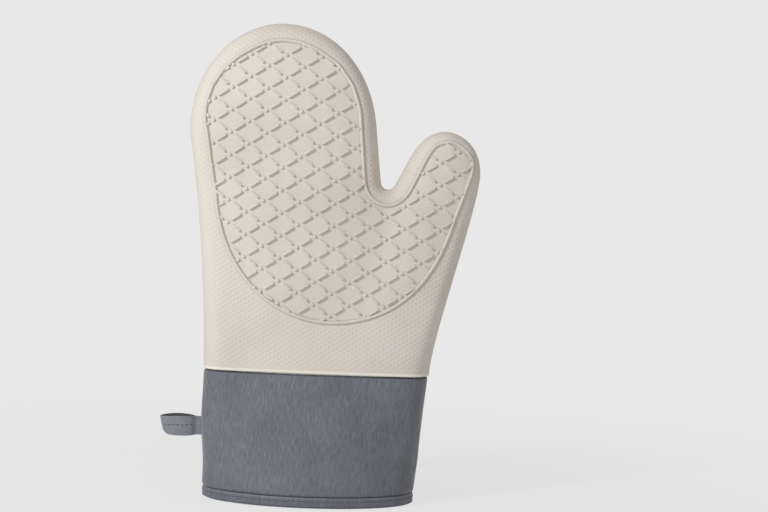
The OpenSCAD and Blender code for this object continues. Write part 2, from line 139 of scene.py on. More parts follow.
# The lattice's cells, one of its crossings, its ribs and studs, and how long the ribs that
# run down towards the thumb's side are beside the others
DIAMOND_W, DIAMOND_H = 24.5, 15.7
LATTICE_NODE = (-40.8, 194.4)
RIB_L, RIB_W, RIB_H = 8.3, 2.0, 1.85
DOWN_SHARE = 0.87
STUD_D, STUD_H = 2.6, 1.4


# ---- Lines ----
def mix(a, b, t):
    return a + (b - a) * t


def smoothstep(low, high, x):
    t = np.clip((x - low) / (high - low), 0, 1)
    return t * t * (3 - 2 * t)


def swell(x, middle, width):
    """A soft hill of height 1 round the middle."""
    return np.exp(-((x - middle) / width) ** 2)


def hump(u):
    return 4 * u * (1 - u)


def curve(p, q, pulls):
    """A line from p to q. The pulls say how it leaves p and how it reaches q."""
    p, q, leave, reach = (np.asarray(v, float) for v in (p, q, *pulls))
    return lambda t: (
        p * (2 * t**3 - 3 * t**2 + 1)
        + leave * (t**3 - 2 * t**2 + t)
        + q * (3 * t**2 - 2 * t**3)
        + reach * (t**3 - t**2)
    )


def arc(centre, rx, rz, start, stop):
    """A line round a centre, from one angle to another, in degrees from +X towards +Z."""
    def place(t):
        angle = math.radians(mix(start, stop, t))
        return np.array([centre[0] + rx * math.cos(angle), centre[1] + rz * math.sin(angle)])
    return place


def steps(line, count, start=0, stop=1):
    """`count` points of a line at even steps. The one at stop is left to the next line."""
    return [line(mix(start, stop, i / count)) for i in range(count)]


def run_along(points):
    """Length of the way from the first point to each point."""
    return np.append(0, np.cumsum(np.linalg.norm(np.diff(points, axis=0), axis=1)))


def closed_spline(control, count):
    """`count` points of the smooth closed curve that a loop of control points steers."""
    control = np.asarray(control)
    t = np.arange(count) * len(control) / count
    base = np.floor(t).astype(int)
    f = (t - base)[:, None]
    p = [control[(base + shift) % len(control)] for shift in (-1, 0, 1, 2)]
    return (
        p[0] * (1 - f) ** 3
        + p[1] * (3 * f**3 - 6 * f**2 + 4)
        + p[2] * (-3 * f**3 + 3 * f**2 + 3 * f + 1)
        + p[3] * f**3
    ) / 6


def even_loop(points, count):
    """A closed line through the points, divided into equal lengths and smoothed."""
    closed = np.vstack([points, points[:1]])
    length = run_along(closed)
    at = np.arange(count) * length[-1] / count
    control = np.stack([np.interp(at, length, column) for column in closed.T], 1)
    return closed_spline(control, 4 * count)


def offset_loop(loop, inset):
    """A closed section moved inwards by `inset`, a number or one for each point."""
    along = np.roll(loop, -1, 0) - np.roll(loop, 1, 0)
    inward = np.stack([-along[:, 1], along[:, 0]], 1)
    inward /= np.linalg.norm(inward, axis=1)[:, None]
    return loop + inward * np.reshape(np.broadcast_to(inset, len(loop)), (-1, 1))


def at_height(loop, z):
    """A section's points with their height."""
    return np.column_stack([loop, np.full(len(loop), z)])


# ---- The hand's outline ----
# Steps of the surface: wrist to crotch, crotch to fingertip, crotch to thumb tip, round the
# rim, across the fingers and across the thumb
PALM_N, FINGERS_N, THUMB_N, RIM_N = 6, 11, 8, 4
FINGERS_COLS, THUMB_COLS = 6, 4
COLS = FINGERS_COLS + THUMB_COLS

# Numbers of the outline's points: fingertip, crotch, thumb tip, thumb's root and right wrist
K_TIP = PALM_N + FINGERS_N
K_CROTCH = K_TIP + FINGERS_N
K_THUMB = K_CROTCH + THUMB_N
K_BASE = K_THUMB + THUMB_N
K_LAST = K_BASE + PALM_N

# Angles where the crotch's round and the thumb's first round end, and the shares of the left
# and right sides that are level with the palm and with the thumb
WEB_A = 326
THUMB_TIP_A = 50
LEFT_SHARE = 0.5
BASE_T = 0.3

LEFT_PULLS = (-5.5, 310), (0, 20)
RIGHT_PULLS = (0, -76), (0, -76)
INNER_THUMB_PULLS = (28, 46), (58, 0)


def make_outline():
    """Points of the mitt's outline, from the wrist's left end round to its right end."""
    wrist_left, wrist_right = np.array([(-WRIST_W / 2, CUFF_H), (WRIST_W / 2, CUFF_H)])
    fingers_left = np.array([FINGERS_X - FINGERS_W / 2, FINGERS_Z])
    fingers_right = np.array([FINGERS_X + FINGERS_W / 2, FINGERS_Z - INNER_DROP])
    crotch = np.array([fingers_right[0] + INNER_LEAN + CROTCH_R, CROTCH_Z + CROTCH_R])
    thumb = np.array([THUMB_REACH - THUMB_TIP_RX, THUMB_TOP - THUMB_TIP_RZ])

    def fingertip(side, start, stop):
        middle = (FINGERTIP_X, side[1])
        return arc(middle, abs(side[0] - FINGERTIP_X), MITT_H - side[1], start, stop)

    left = curve(wrist_left, fingers_left, LEFT_PULLS)
    web = arc(crotch, CROTCH_R, CROTCH_R, 270, WEB_A)
    right = curve(thumb + [THUMB_TIP_RX, 0], wrist_right, RIGHT_PULLS)

    # Each finger side takes FINGERS_N steps in all, and each thumb side THUMB_N
    points = steps(left, PALM_N, 0, LEFT_SHARE)
    points += steps(left, 4, LEFT_SHARE, 1) + steps(fingertip(fingers_left, 180, 90), 7)
    points += steps(fingertip(fingers_right, 90, 0), 6)
    points += steps(lambda t: mix(fingers_right, crotch - [CROTCH_R, 0], t), 2)
    points += steps(arc(crotch, CROTCH_R, CROTCH_R, 180, 270), 3)
    points += steps(web, 2)
    points += steps(curve(web(1), thumb + [0, THUMB_TIP_RZ], INNER_THUMB_PULLS), 4)
    points += steps(arc(thumb, THUMB_TIP_RX, THUMB_TIP_RZ, 90, THUMB_TIP_A), 2)
    points += steps(arc(thumb, THUMB_TIP_RX, THUMB_TIP_RZ, THUMB_TIP_A, 0), 3)
    points += steps(right, 5, 0, BASE_T)
    points += steps(right, PALM_N, BASE_T, 1) + [right(1)]
    return np.array(points) - [MIDDLE_X, 0]


OUTLINE = make_outline()


def make_inward():
    """Inward direction at each point of the outline."""
    ahead = np.vstack([OUTLINE[1:], OUTLINE[-1:]])
    behind = np.vstack([OUTLINE[:1], OUTLINE[:-1]])
    along = ahead - behind
    inward = np.stack([along[:, 1], -along[:, 0]], 1)
    inward /= np.linalg.norm(inward, axis=1)[:, None]
    inward[0], inward[-1] = (1, 0), (-1, 0)
    return inward


INWARD = make_inward()


def blended(keys):
    """Values set at chosen places of the outline, blended between them."""
    places, values = zip(*keys)
    return np.interp(np.arange(K_LAST + 1), places, values)


RIM_WIDTH = blended([
    (0, RIM_SIDE), (K_TIP, RIM_SIDE), (K_TIP + 6, RIM_INNER), (K_CROTCH, RIM_INNER),
    (K_CROTCH + 4, RIM_THUMB_INNER), (K_THUMB + 2, RIM_THUMB_OUTER), (K_BASE, RIM_INNER),
    (K_LAST, RIM_SIDE),
])
DEPTH = blended([
    (0, EDGE_DEPTH), (PALM_N + 4, EDGE_DEPTH), (K_TIP, FINGERTIP_DEPTH),
    (K_TIP + 6, EDGE_DEPTH - 0.5), (K_CROTCH, THUMB_DEPTH), (K_THUMB - 2, THUMB_DEPTH),
    (K_THUMB, THUMB_DEPTH - 2), (K_THUMB + 3, THUMB_DEPTH), (K_BASE, THUMB_DEPTH + 1),
    (K_LAST, EDGE_DEPTH),
])

# How square the rim's round is: 2 makes it an ellipse
RIM_SQUARE = blended([
    (0, 2.0), (PALM_N - 2, 2.4), (K_CROTCH, 2.4), (K_THUMB, 2.2), (K_BASE, 2.3),
    (K_LAST - PALM_N + 2, 2.4), (K_LAST, 2.0),
])

# How far inside the outline the bead runs, as far as it follows it
BEAD_INSET = blended([
    (0, 15.0), (PALM_N, 15.0), (PALM_N + 1, 13.9), (PALM_N + 3, 13.9), (11, 11.7), (12, 11.8),
    (13, 12.8), (14, 14.0), (15, 14.7), (K_TIP, 14.0), (K_TIP + 2, 13.6), (K_TIP + 3, 11.5),
    (K_TIP + 4, 10.5), (K_TIP + 6, 10.8), (K_CROTCH, RIM_INNER),
    (K_CROTCH + 4, RIM_THUMB_INNER), (K_THUMB + 2, RIM_THUMB_OUTER), (K_BASE, RIM_INNER),
])


# ---- The hand's surfaces ----
# The fingers or the thumb: the outline's points where its left and right sides start, its
# rows, its first column on the palm, its columns, and its share of the crown
Branch = namedtuple("Branch", "left right rows first columns crown")
FINGERS = Branch(PALM_N, K_CROTCH, FINGERS_N, 0, FINGERS_COLS, 1.0)
THUMB = Branch(K_CROTCH, K_BASE, THUMB_N, FINGERS_COLS, THUMB_COLS, THUMB_RISE)


def tip_fade(t):
    return (1 - t * t) ** 1.5


def palm_hump(i, u):
    """Rise of the palm's face: one hump at the wrist, two under the fingers and thumb."""
    w = smoothstep(0, 1, i / PALM_N)
    split = FINGERS_COLS / COLS
    two = hump(u / split) if u < split else THUMB_RISE * hump((u - split) / (1 - split))
    return mix(WRIST_CROWN, CROWN, w) * mix(hump(u), two, w)


def cells(rows, columns, point_id):
    """Quads of a grid of numbered points, turned outwards."""
    return [
        [point_id(i, c + 1), point_id(i + 1, c + 1), point_id(i + 1, c), point_id(i, c)]
        for i in range(rows)
        for c in range(columns)
    ]


class HandSurface:
    """Control points of the palm half of one surface of the hand, `a` under the outer skin.

    Ring 0 of the rim lies in the middle plane, and ring RIM_N on the edge of the face.
    `flat` holds each point's place when the rim is unrolled into the plane of the face.
    """

    def __init__(self, a):
        self.a = a
        self.points, self.flat, self.ids = [], [], {}
        for k in range(K_LAST + 1):
            ring = [self.rim(k, j) for j in range(RIM_N + 1)]
            run = run_along(ring)
            for j, point in enumerate(ring):
                unrolled = self.xz(ring[RIM_N]) - INWARD[k] * (run[RIM_N] - run[j])
                self.add(("rim", k, j), point, unrolled)
        for i in range(PALM_N + 1):
            for c in range(1, COLS):
                if i < PALM_N or c != FINGERS_COLS:
                    self.add(("palm", i, c), self.palm(i, c))
        for branch in (FINGERS, THUMB):
            for i in range(1, branch.rows):
                for c in range(1, branch.columns):
                    self.add((branch, i, c), self.branch(branch, i, c))

    @staticmethod
    def xz(p):
        return np.array([p[0], p[2]])

    def add(self, name, point, flat=None):
        self.ids[name] = len(self.points)
        self.points.append(point)
        self.flat.append(self.xz(point) if flat is None else flat)

    def rim(self, k, j):
        f = math.radians(90 * j / RIM_N)
        roll = max(RIM_WIDTH[k] - self.a, MIN_ROLL)
        across = abs(math.cos(f)) ** (2 / RIM_SQUARE[k])
        x, z = OUTLINE[k] + INWARD[k] * (self.a + roll * (1 - across))
        return np.array([x, -(DEPTH[k] - self.a) * math.sin(f) ** (2 / RIM_SQUARE[k]), z])

    def edge(self, k):
        return self.xz(self.rim(k, RIM_N))

    def face(self, p, q, p_depth, q_depth, u, rise):
        """A point of the face, the share u of the way from p to q."""
        x, z = mix(p, q, u)
        return np.array([x, -(mix(p_depth, q_depth, u) + rise - self.a), z])

    def palm(self, i, c):
        left, right = self.edge(i), self.edge(K_LAST - i)
        root = mix(self.edge(0), self.edge(K_LAST), THUMB_ROOT)
        middle = mix(root, self.edge(K_CROTCH), i / PALM_N)
        root_depth = mix(DEPTH[0], DEPTH[K_LAST], THUMB_ROOT)
        middle_depth = mix(root_depth, DEPTH[K_CROTCH], i / PALM_N)
        rise = palm_hump(i, c / COLS)
        if c <= FINGERS_COLS:
            return self.face(left, middle, DEPTH[i], middle_depth, c / FINGERS_COLS, rise)
        u = (c - FINGERS_COLS) / THUMB_COLS
        return self.face(middle, right, middle_depth, DEPTH[K_LAST - i], u, rise)

    def branch(self, branch, i, c):
        left, right, u = branch.left + i, branch.right - i, c / branch.columns
        rise = branch.crown * CROWN * hump(u) * tip_fade(i / branch.rows)
        return self.face(self.edge(left), self.edge(right), DEPTH[left], DEPTH[right], u, rise)

    def palm_id(self, i, c):
        if c == 0:
            return self.ids["rim", i, RIM_N]
        if c == COLS:
            return self.ids["rim", K_LAST - i, RIM_N]
        if i == PALM_N and c == FINGERS_COLS:
            return self.ids["rim", K_CROTCH, RIM_N]
        return self.ids["palm", i, c]

    def branch_id(self, branch, i, c):
        if i == 0:
            return self.palm_id(PALM_N, branch.first + c)
        if c == 0:
            return self.ids["rim", branch.left + i, RIM_N]
        if c == branch.columns:
            return self.ids["rim", branch.right - i, RIM_N]
        return self.ids[branch, i, c]

    def faces(self):
        """The half's faces, turned outwards. Each tip is closed by a fan."""
        found = cells(K_LAST, RIM_N, lambda k, j: self.ids["rim", k, j])
        found += cells(PALM_N, COLS, self.palm_id)
        for branch in (FINGERS, THUMB):
            found += cells(branch.rows - 1, branch.columns, partial(self.branch_id, branch))
        for branch in (FINGERS, THUMB):
            tip = self.ids["rim", branch.left + branch.rows, RIM_N]
            last = [self.branch_id(branch, branch.rows - 1, c) for c in range(branch.columns + 1)]
            found += [[last[c + 1], tip, last[c]] for c in range(branch.columns)]
        return found

    def wrist_ids(self):
        """The wrist's edge, left to right, middle plane to middle plane."""
        left = [self.ids["rim", 0, j] for j in range(RIM_N + 1)]
        right = [self.ids["rim", K_LAST, j] for j in reversed(range(RIM_N + 1))]
        return left + [self.ids["palm", 0, c] for c in range(1, COLS)] + right


@lru_cache
def wrist_points(a):
    """The wrist's edge of one surface of the hand, left to right."""
    hand = HandSurface(a)
    return np.array([hand.points[i] for i in hand.wrist_ids()])


# The height where the cuff reaches the mouth's section, and the points of each section
FLARE_END = HEM_H + 1
LOOP_N = 320


def cuff_control(z, a):
    """Control points of the cuff's closed section at height z, `a` under the outer skin."""
    across = (wrist_points(0)[:, 0] + MIDDLE_X) / (WRIST_W / 2)
    x = MOUTH_SHIFT - MIDDLE_X + across * (MOUTH_W / 2 - a)
    y = -(MOUTH_D / 2 - a) * np.sqrt(np.clip(1 - across**2, 0, 1))
    t = min(1, (CUFF_H - z) / (CUFF_H - FLARE_END))
    palm = mix(wrist_points(a)[:, :2], np.stack([x, y], 1), t)
    back = palm[-2:0:-1] * [1, -1]
    return np.vstack([palm, back])


def cuff_loop(z, a):
    """The cuff's closed section at height z, `a` under the outer skin."""
    return closed_spline(cuff_control(z, a), LOOP_N)


# Steps of each of the bead's two curves across the palm, control points of its whole path,
# and how the two curves run
BEAD_CURVE_N = 40
BEAD_N = 150
BEAD_DOWN_PULLS = (-45, -174), (-95, 0)
BEAD_UP_PULLS = (-105, 0), (-17, 184)


def make_bead_path():
    """The bead's closed path in the plane of the face, round the panel."""
    edge = [OUTLINE[k] + INWARD[k] * BEAD_INSET[k] for k in range(PALM_N, K_BASE + 1)]
    low = BEAD_LOW - [MIDDLE_X, 0]
    down = steps(curve(edge[-1], low, BEAD_DOWN_PULLS), BEAD_CURVE_N)
    up = steps(curve(low, edge[0], BEAD_UP_PULLS), BEAD_CURVE_N)
    return even_loop(np.array(edge[:-1] + down + up), BEAD_N)


BEAD_PATH = make_bead_path()

# How many points are measured against the whole path at a time
CHUNK = 4000


def outside_panel(points):
    """Signed distance of points in the plane of the face from the bead, positive outside."""
    a, b = BEAD_PATH, np.roll(BEAD_PATH, -1, 0)
    found = np.empty(len(points))
    for start in range(0, len(points), CHUNK):
        p = points[start:start + CHUNK, None, :]
        along = np.clip(((p - a) * (b - a)).sum(2) / ((b - a) ** 2).sum(1), 0, 1)[..., None]
        distance = np.linalg.norm(p - (a + along * (b - a)), axis=2).min(1)
        above = (a[:, 1] > p[..., 1]) != (b[:, 1] > p[..., 1])
        rise = np.where(a[:, 1] == b[:, 1], 1, b[:, 1] - a[:, 1])
        crossing = a[:, 0] + (p[..., 1] - a[:, 1]) * (b[:, 0] - a[:, 0]) / rise
        inside = ((above & (p[..., 0] < crossing)).sum(1) % 2).astype(bool)
        found[start:start + CHUNK] = np.where(inside, -distance, distance)
    return found


# ---- Meshes ----
def new_object(name, data):
    obj = bpy.data.objects.new(name, data)
    bpy.context.scene.collection.objects.link(obj)
    return obj


def mesh_object(name, points, faces=(), edges=(), uv=None, material=None):
    """A mesh object in place, from points in millimetres. uv has one pair for each point."""
    mesh = bpy.data.meshes.new(name)
    mesh.from_pydata((np.asarray(points) * MM).tolist(), list(edges), list(faces))
    if uv is not None:
        layer = mesh.uv_layers.new(name="cloth")
        corner = np.empty(len(mesh.loops), int)
        mesh.loops.foreach_get("vertex_index", corner)
        layer.data.foreach_set("uv", (np.asarray(uv)[corner] * MM).ravel())
    if len(mesh.polygons):
        mesh.polygons.foreach_set("use_smooth", np.ones(len(mesh.polygons), bool))
    if material:
        mesh.materials.append(material)
    return new_object(name, mesh)


def line_object(name, points, closed):
    """A line of edges, for a recipe to follow."""
    count = len(points)
    edges = [(i, (i + 1) % count) for i in range(count if closed else count - 1)]
    return mesh_object(name, points, edges=edges)


def sheet_faces(rows, count):
    """Quads of an open grid of points, numbered row by row."""
    return [
        [r * count + c, r * count + c + 1, (r + 1) * count + c + 1, (r + 1) * count + c]
        for r in range(rows - 1)
        for c in range(count - 1)
    ]


def ring_faces(rows, count):
    """Quads of a grid of points that closes both ways, numbered row by row."""
    def point(r, c):
        return r % rows * count + c % count
    return [
        [point(r, c), point(r + 1, c), point(r + 1, c + 1), point(r, c + 1)]
        for r in range(rows)
        for c in range(count)
    ]


def settle(obj):
    """Turns the object, its modifiers and what they make into one plain mesh."""
    graph = bpy.context.evaluated_depsgraph_get()
    mesh = bpy.data.meshes.new_from_object(obj.evaluated_get(graph))
    old = obj.data
    obj.modifiers.clear()
    obj.data = mesh
    mesh.name = obj.name
    bpy.data.meshes.remove(old)
    return obj


def subdivide(obj, levels):
    rounding = obj.modifiers.new("rounding", "SUBSURF")
    rounding.levels = rounding.render_levels = levels
    rounding.uv_smooth = "SMOOTH_ALL"
    return settle(obj)


def thicken(obj, thickness):
    """Gives an open sheet its wall, inwards."""
    wall = obj.modifiers.new("wall", "SOLIDIFY")
    wall.thickness = thickness * MM
    wall.offset = -1
    return settle(obj)


def vertex_vectors(obj, kind):
    found = np.empty(len(obj.data.vertices) * 3)
    obj.data.vertices.foreach_get(kind, found)
    return found.reshape(-1, 3)


def coordinates(obj):
    """The mesh's points in millimetres."""
    return vertex_vectors(obj, "co") / MM


def move_to(obj, points):
    obj.data.vertices.foreach_set("co", (points * MM).ravel())
    obj.data.update()


def set_attribute(obj, name, values):
    attribute = obj.data.attributes.new(name, "FLOAT", "POINT")
    attribute.data.foreach_set("value", np.asarray(values, np.float32))


# ---- Node trees ----
def maths(operation, swapped=False):
    """A method that works one Math node on a socket and the values it is given."""
    def method(self, *others):
        values = (*others, self) if swapped else (self, *others)
        return self.graph.node("ShaderNodeMath", {"operation": operation}, values)
    return method


class Socket:
    """An output of a node. Numbers are reckoned with as in Python."""

    __add__ = __radd__ = maths("ADD")
    __sub__ = maths("SUBTRACT")
    __rsub__ = maths("SUBTRACT", swapped=True)
    __mul__ = __rmul__ = maths("MULTIPLY")
    __truediv__ = maths("DIVIDE")
    __lt__ = maths("LESS_THAN")
    at_least = maths("MAXIMUM")
    at_most = maths("MINIMUM")
    modulo = maths("FLOORED_MODULO")
    rounded = maths("ROUND")
    absolute = maths("ABSOLUTE")
    sign = maths("SIGN")
    cos = maths("COSINE")
    arctan2 = maths("ARCTAN2")

    def __init__(self, graph, node, output):
        self.graph, self.node, self.socket = graph, node, node.outputs[output]

    def out(self, output):
        return Socket(self.graph, self.node, output)

    def smooth(self, low, high):
        """0 below low, 1 above high, and a soft step between them."""
        settings = {"interpolation_type": "SMOOTHSTEP"}
        return self.graph.node("ShaderNodeMapRange", settings, [self, low, high, 0.0, 1.0])


class Graph:
    """Builds a node tree, a material's or a Geometry Nodes one."""

    def __init__(self, tree):
        self.tree = tree

    def node(self, kind, settings=None, inputs=()):
        """Adds a node. Inputs are values or sockets, in order or by name."""
        made = self.tree.nodes.new(kind)
        for name, value in (settings or {}).items():
            setattr(made, name, value)
        pairs = inputs.items() if isinstance(inputs, dict) else enumerate(inputs)
        for key, value in pairs:
            if isinstance(value, Socket):
                self.tree.links.new(value.socket, made.inputs[key])
            else:
                made.inputs[key].default_value = value
        return Socket(self, made, 0) if len(made.outputs) else made

    def vector(self, x, y, z):
        return self.node("ShaderNodeCombineXYZ", None, [x, y, z])

    def parts(self, vector):
        split = self.node("ShaderNodeSeparateXYZ", None, [vector])
        return [split.out(axis) for axis in "XYZ"]

    def vector_maths(self, operation, *values):
        return self.node("ShaderNodeVectorMath", {"operation": operation}, values)

    def scaled(self, vector, factor):
        inputs = {0: vector, "Scale": factor}
        return self.node("ShaderNodeVectorMath", {"operation": "SCALE"}, inputs)

    def choose(self, condition, no, yes):
        """no where condition is 0, yes where it is 1, for numbers."""
        return no + (yes - no) * condition


# ---- Materials ----
def srgb(red, green, blue):
    """A colour written as it looks on a screen, 0 to 255."""
    def linear(v):
        v /= 255
        return v / 12.92 if v <= 0.04045 else ((v + 0.055) / 1.055) ** 2.4
    return (linear(red), linear(green), linear(blue), 1)


# Dark and light tone of each finish, then the lip's painted highlight and the tones of painted
# shade in creases, grooves and hollows
SILICONE_TONES = srgb(221, 211, 199), srgb(228, 218, 207)
CANVAS_TONES = srgb(86, 89, 97), srgb(124, 127, 136)
HEM_TONES = srgb(113, 116, 124), srgb(139, 142, 151)
LOOP_TONES = srgb(116, 119, 128), srgb(144, 147, 157)
THREAD_TONES = srgb(78, 80, 88), srgb(98, 101, 110)
LINING_TONES = srgb(172, 174, 179), srgb(186, 188, 193)
WADDING_TONES = srgb(226, 223, 214), srgb(244, 242, 236)
LIP_PAINTED_HIGHLIGHT = srgb(240, 236, 226)
SILICONE_PAINTED_SHADE = srgb(158, 145, 130)
CANVAS_PAINTED_SHADE = srgb(52, 53, 58)
LINING_PAINTED_SHADE = srgb(140, 142, 148)


class Finish(Graph):
    """A procedural material on one Principled shader."""

    def __init__(self, name, **constants):
        self.material = bpy.data.materials.new(name)
        self.material.use_nodes = True
        super().__init__(self.material.node_tree)
        self.shader = self.tree.nodes["Principled BSDF"]
        for socket, value in constants.items():
            self.shader.inputs[socket.replace("_", " ")].default_value = value

    def place(self):
        """Object coordinates in millimetres."""
        return self.scaled(self.node("ShaderNodeTexCoord").out("Object"), 1 / MM)

    def surface(self):
        """The piece's own unrolled coordinates in millimetres, as two numbers."""
        uv = self.node("ShaderNodeUVMap", {"uv_map": "cloth"})
        return self.parts(self.scaled(uv, 1 / MM))[:2]

    def attribute(self, name):
        return self.node("ShaderNodeAttribute", {"attribute_name": name}).out("Fac")

    def noise(self, vector, scale, detail=2.0, roughness=0.5, distortion=0.0):
        """Cloudy values round 0.5. Scale is in clouds per millimetre."""
        inputs = {
            "Vector": vector, "Scale": scale, "Detail": detail,
            "Roughness": roughness, "Distortion": distortion,
        }
        return self.node("ShaderNodeTexNoise", {"normalize": True}, inputs)

    def cloth_noise(self, u, v, across, along, seed, detail=2.0, roughness=0.5):
        """Cloudy values with so many clouds per millimetre across and along the cloth."""
        return self.noise(self.vector(u * across, v * along, seed), 1.0, detail, roughness)

    def threads(self, along, pitch):
        """0 and 1 in turn along a number, one rounded thread each pitch."""
        return (along * (math.pi / pitch)).cos().absolute()

    def mixed(self, low, high, factor):
        """A colour between two colours."""
        inputs = {0: factor, 6: low, 7: high}
        return self.node("ShaderNodeMix", {"data_type": "RGBA"}, inputs).out(2)

    def finish(self, colour, roughness, height):
        """Feeds the shader. The height in millimetres becomes its relief."""
        inputs = {"Strength": 1.0, "Distance": MM, "Height": height}
        relief = self.node("ShaderNodeBump", None, inputs)
        fed = {"Base Color": colour, "Roughness": roughness, "Normal": relief}
        for socket, value in fed.items():
            self.tree.links.new(value.socket, self.shader.inputs[socket])
        return self.material


# The grain's pitch each way and its height, where the lip's painted highlight gives way to the
# skin's tone, and the pitches of upright and level threads
GRAIN_X, GRAIN_Z = 2.7, 1.8
GRAIN_H = 0.2
LIP_FROM, LIP_TO = CUFF_H + 1.6, CUFF_H + 2.4
WARP_PITCH, WEFT_PITCH = 0.55, 0.5


def silicone_finish():
    """Matte moulded silicone with an embossed grain where the grain attribute is 1.

    It has a painted highlight on the lip at the wrist and painted shade in the creases by the
    ribs, studs and bead.
    """
    f = Finish("silicone", Specular_IOR_Level=0.45, Sheen_Weight=0.22, Sheen_Roughness=0.45)
    place = f.place()
    u, v = f.surface()
    wave = (u * (math.pi / GRAIN_X)).cos() * (v * (math.pi / GRAIN_Z)).cos()
    grain = wave.smooth(-0.15, 0.95) * f.attribute("grain")
    cloud = f.noise(place, 0.02, 3.0)
    fine = f.noise(place, 1.3, 3.0, 0.6)
    tone = f.mixed(*SILICONE_TONES, cloud.smooth(0.35, 0.65))
    # Painted highlight: below LIP_TO the lip and the skin by it are paler, in place of the light
    # on the lip's top
    lip = 1.0 - f.parts(place)[2].smooth(LIP_FROM, LIP_TO)
    tone = f.mixed(tone, LIP_PAINTED_HIGHLIGHT, lip)
    # Painted shade in the creases at the foot of the ribs, studs and bead
    tone = f.mixed(tone, SILICONE_PAINTED_SHADE, f.attribute("crease"))
    return f.finish(tone, 0.5 + 0.1 * cloud + 0.06 * fine, grain * GRAIN_H + fine * 0.03)


def canvas_finish(name, tones, streak_h):
    """Slub woven cloth: upright streaks, which wander a little, over a plain weave.

    Where the shade attribute is over 0 it is darkened with painted shade.
    """
    f = Finish(name, Specular_IOR_Level=0.6, Sheen_Weight=0.5, Sheen_Roughness=0.35)
    u, v = f.surface()
    wander = f.cloth_noise(u, v, 0.08, 0.05, 3.0)
    streak = f.cloth_noise(u + wander * 6, v, 0.85, 0.09, 0.0, 3.0, 0.6)
    slub = f.cloth_noise(u + wander * 4, v, 1.9, 0.19, 7.0)
    cloud = f.cloth_noise(u, v, 0.03, 0.03, 5.0)
    weave = f.threads(u, WARP_PITCH) * 0.5 + f.threads(v, WEFT_PITCH) * 0.5
    shade = streak * 0.33 + slub * 0.47 + cloud * 0.2
    tone = f.mixed(*tones, shade.smooth(0.3, 0.7))
    # Painted shade where the shade attribute says: grooves, the tuck under the silicone, the
    # loop's inner side
    tone = f.mixed(tone, CANVAS_PAINTED_SHADE, f.attribute("shade"))
    height = streak * streak_h * 2 + slub * streak_h + weave * 0.05
    return f.finish(tone, 0.64 - 0.1 * slub, height)


def thread_finish():
    f = Finish("grey_thread", Specular_IOR_Level=0.3, Sheen_Weight=0.2)
    fibre = f.noise(f.place(), 2.2, 3.0, 0.6)
    tone = f.mixed(*THREAD_TONES, fibre.smooth(0.3, 0.7))
    return f.finish(tone, 0.75 + 0.15 * fibre, fibre * 0.08)


def lining_finish():
    f = Finish("quilted_cotton", Specular_IOR_Level=0.2, Sheen_Weight=0.2, Sheen_Roughness=0.5)
    x, y, z = f.parts(f.place())
    weave = f.threads(x, WEFT_PITCH) + f.threads(z, WEFT_PITCH)
    cloud = f.noise(f.place(), 0.08, 3.0)
    tone = f.mixed(*LINING_TONES, cloud.smooth(0.3, 0.7))
    # Painted shade in the stitched valleys between the quilt's puffs
    tone = f.mixed(tone, LINING_PAINTED_SHADE, f.attribute("shade"))
    return f.finish(tone, 0.85 + 0.1 * cloud, weave * 0.05)


def wadding_finish():
    f = Finish("wadding", Specular_IOR_Level=0.15, Sheen_Weight=0.4, Sheen_Roughness=0.6)
    fibre = f.noise(f.place(), 0.6, 5.0, 0.7, 0.8)
    tone = f.mixed(*WADDING_TONES, fibre.smooth(0.3, 0.7))
    return f.finish(tone, 0.9 + 0.1 * fibre, fibre * 0.5)


SILICONE = silicone_finish()
CANVAS = canvas_finish("cuff_canvas", CANVAS_TONES, 0.07)
HEM_TAPE = canvas_finish("hem_tape", HEM_TONES, 0.05)
LOOP_TAPE = canvas_finish("loop_tape", LOOP_TONES, 0.05)
THREAD = thread_finish()
LINING = lining_finish()
WADDING = wadding_finish()


# ---- Geometry Nodes ----
# A line that looks for a surface starts this far from it or from the middle plane, and is
# this long, in metres
RAY_START, RAY_LENGTH = 0.2, 0.4


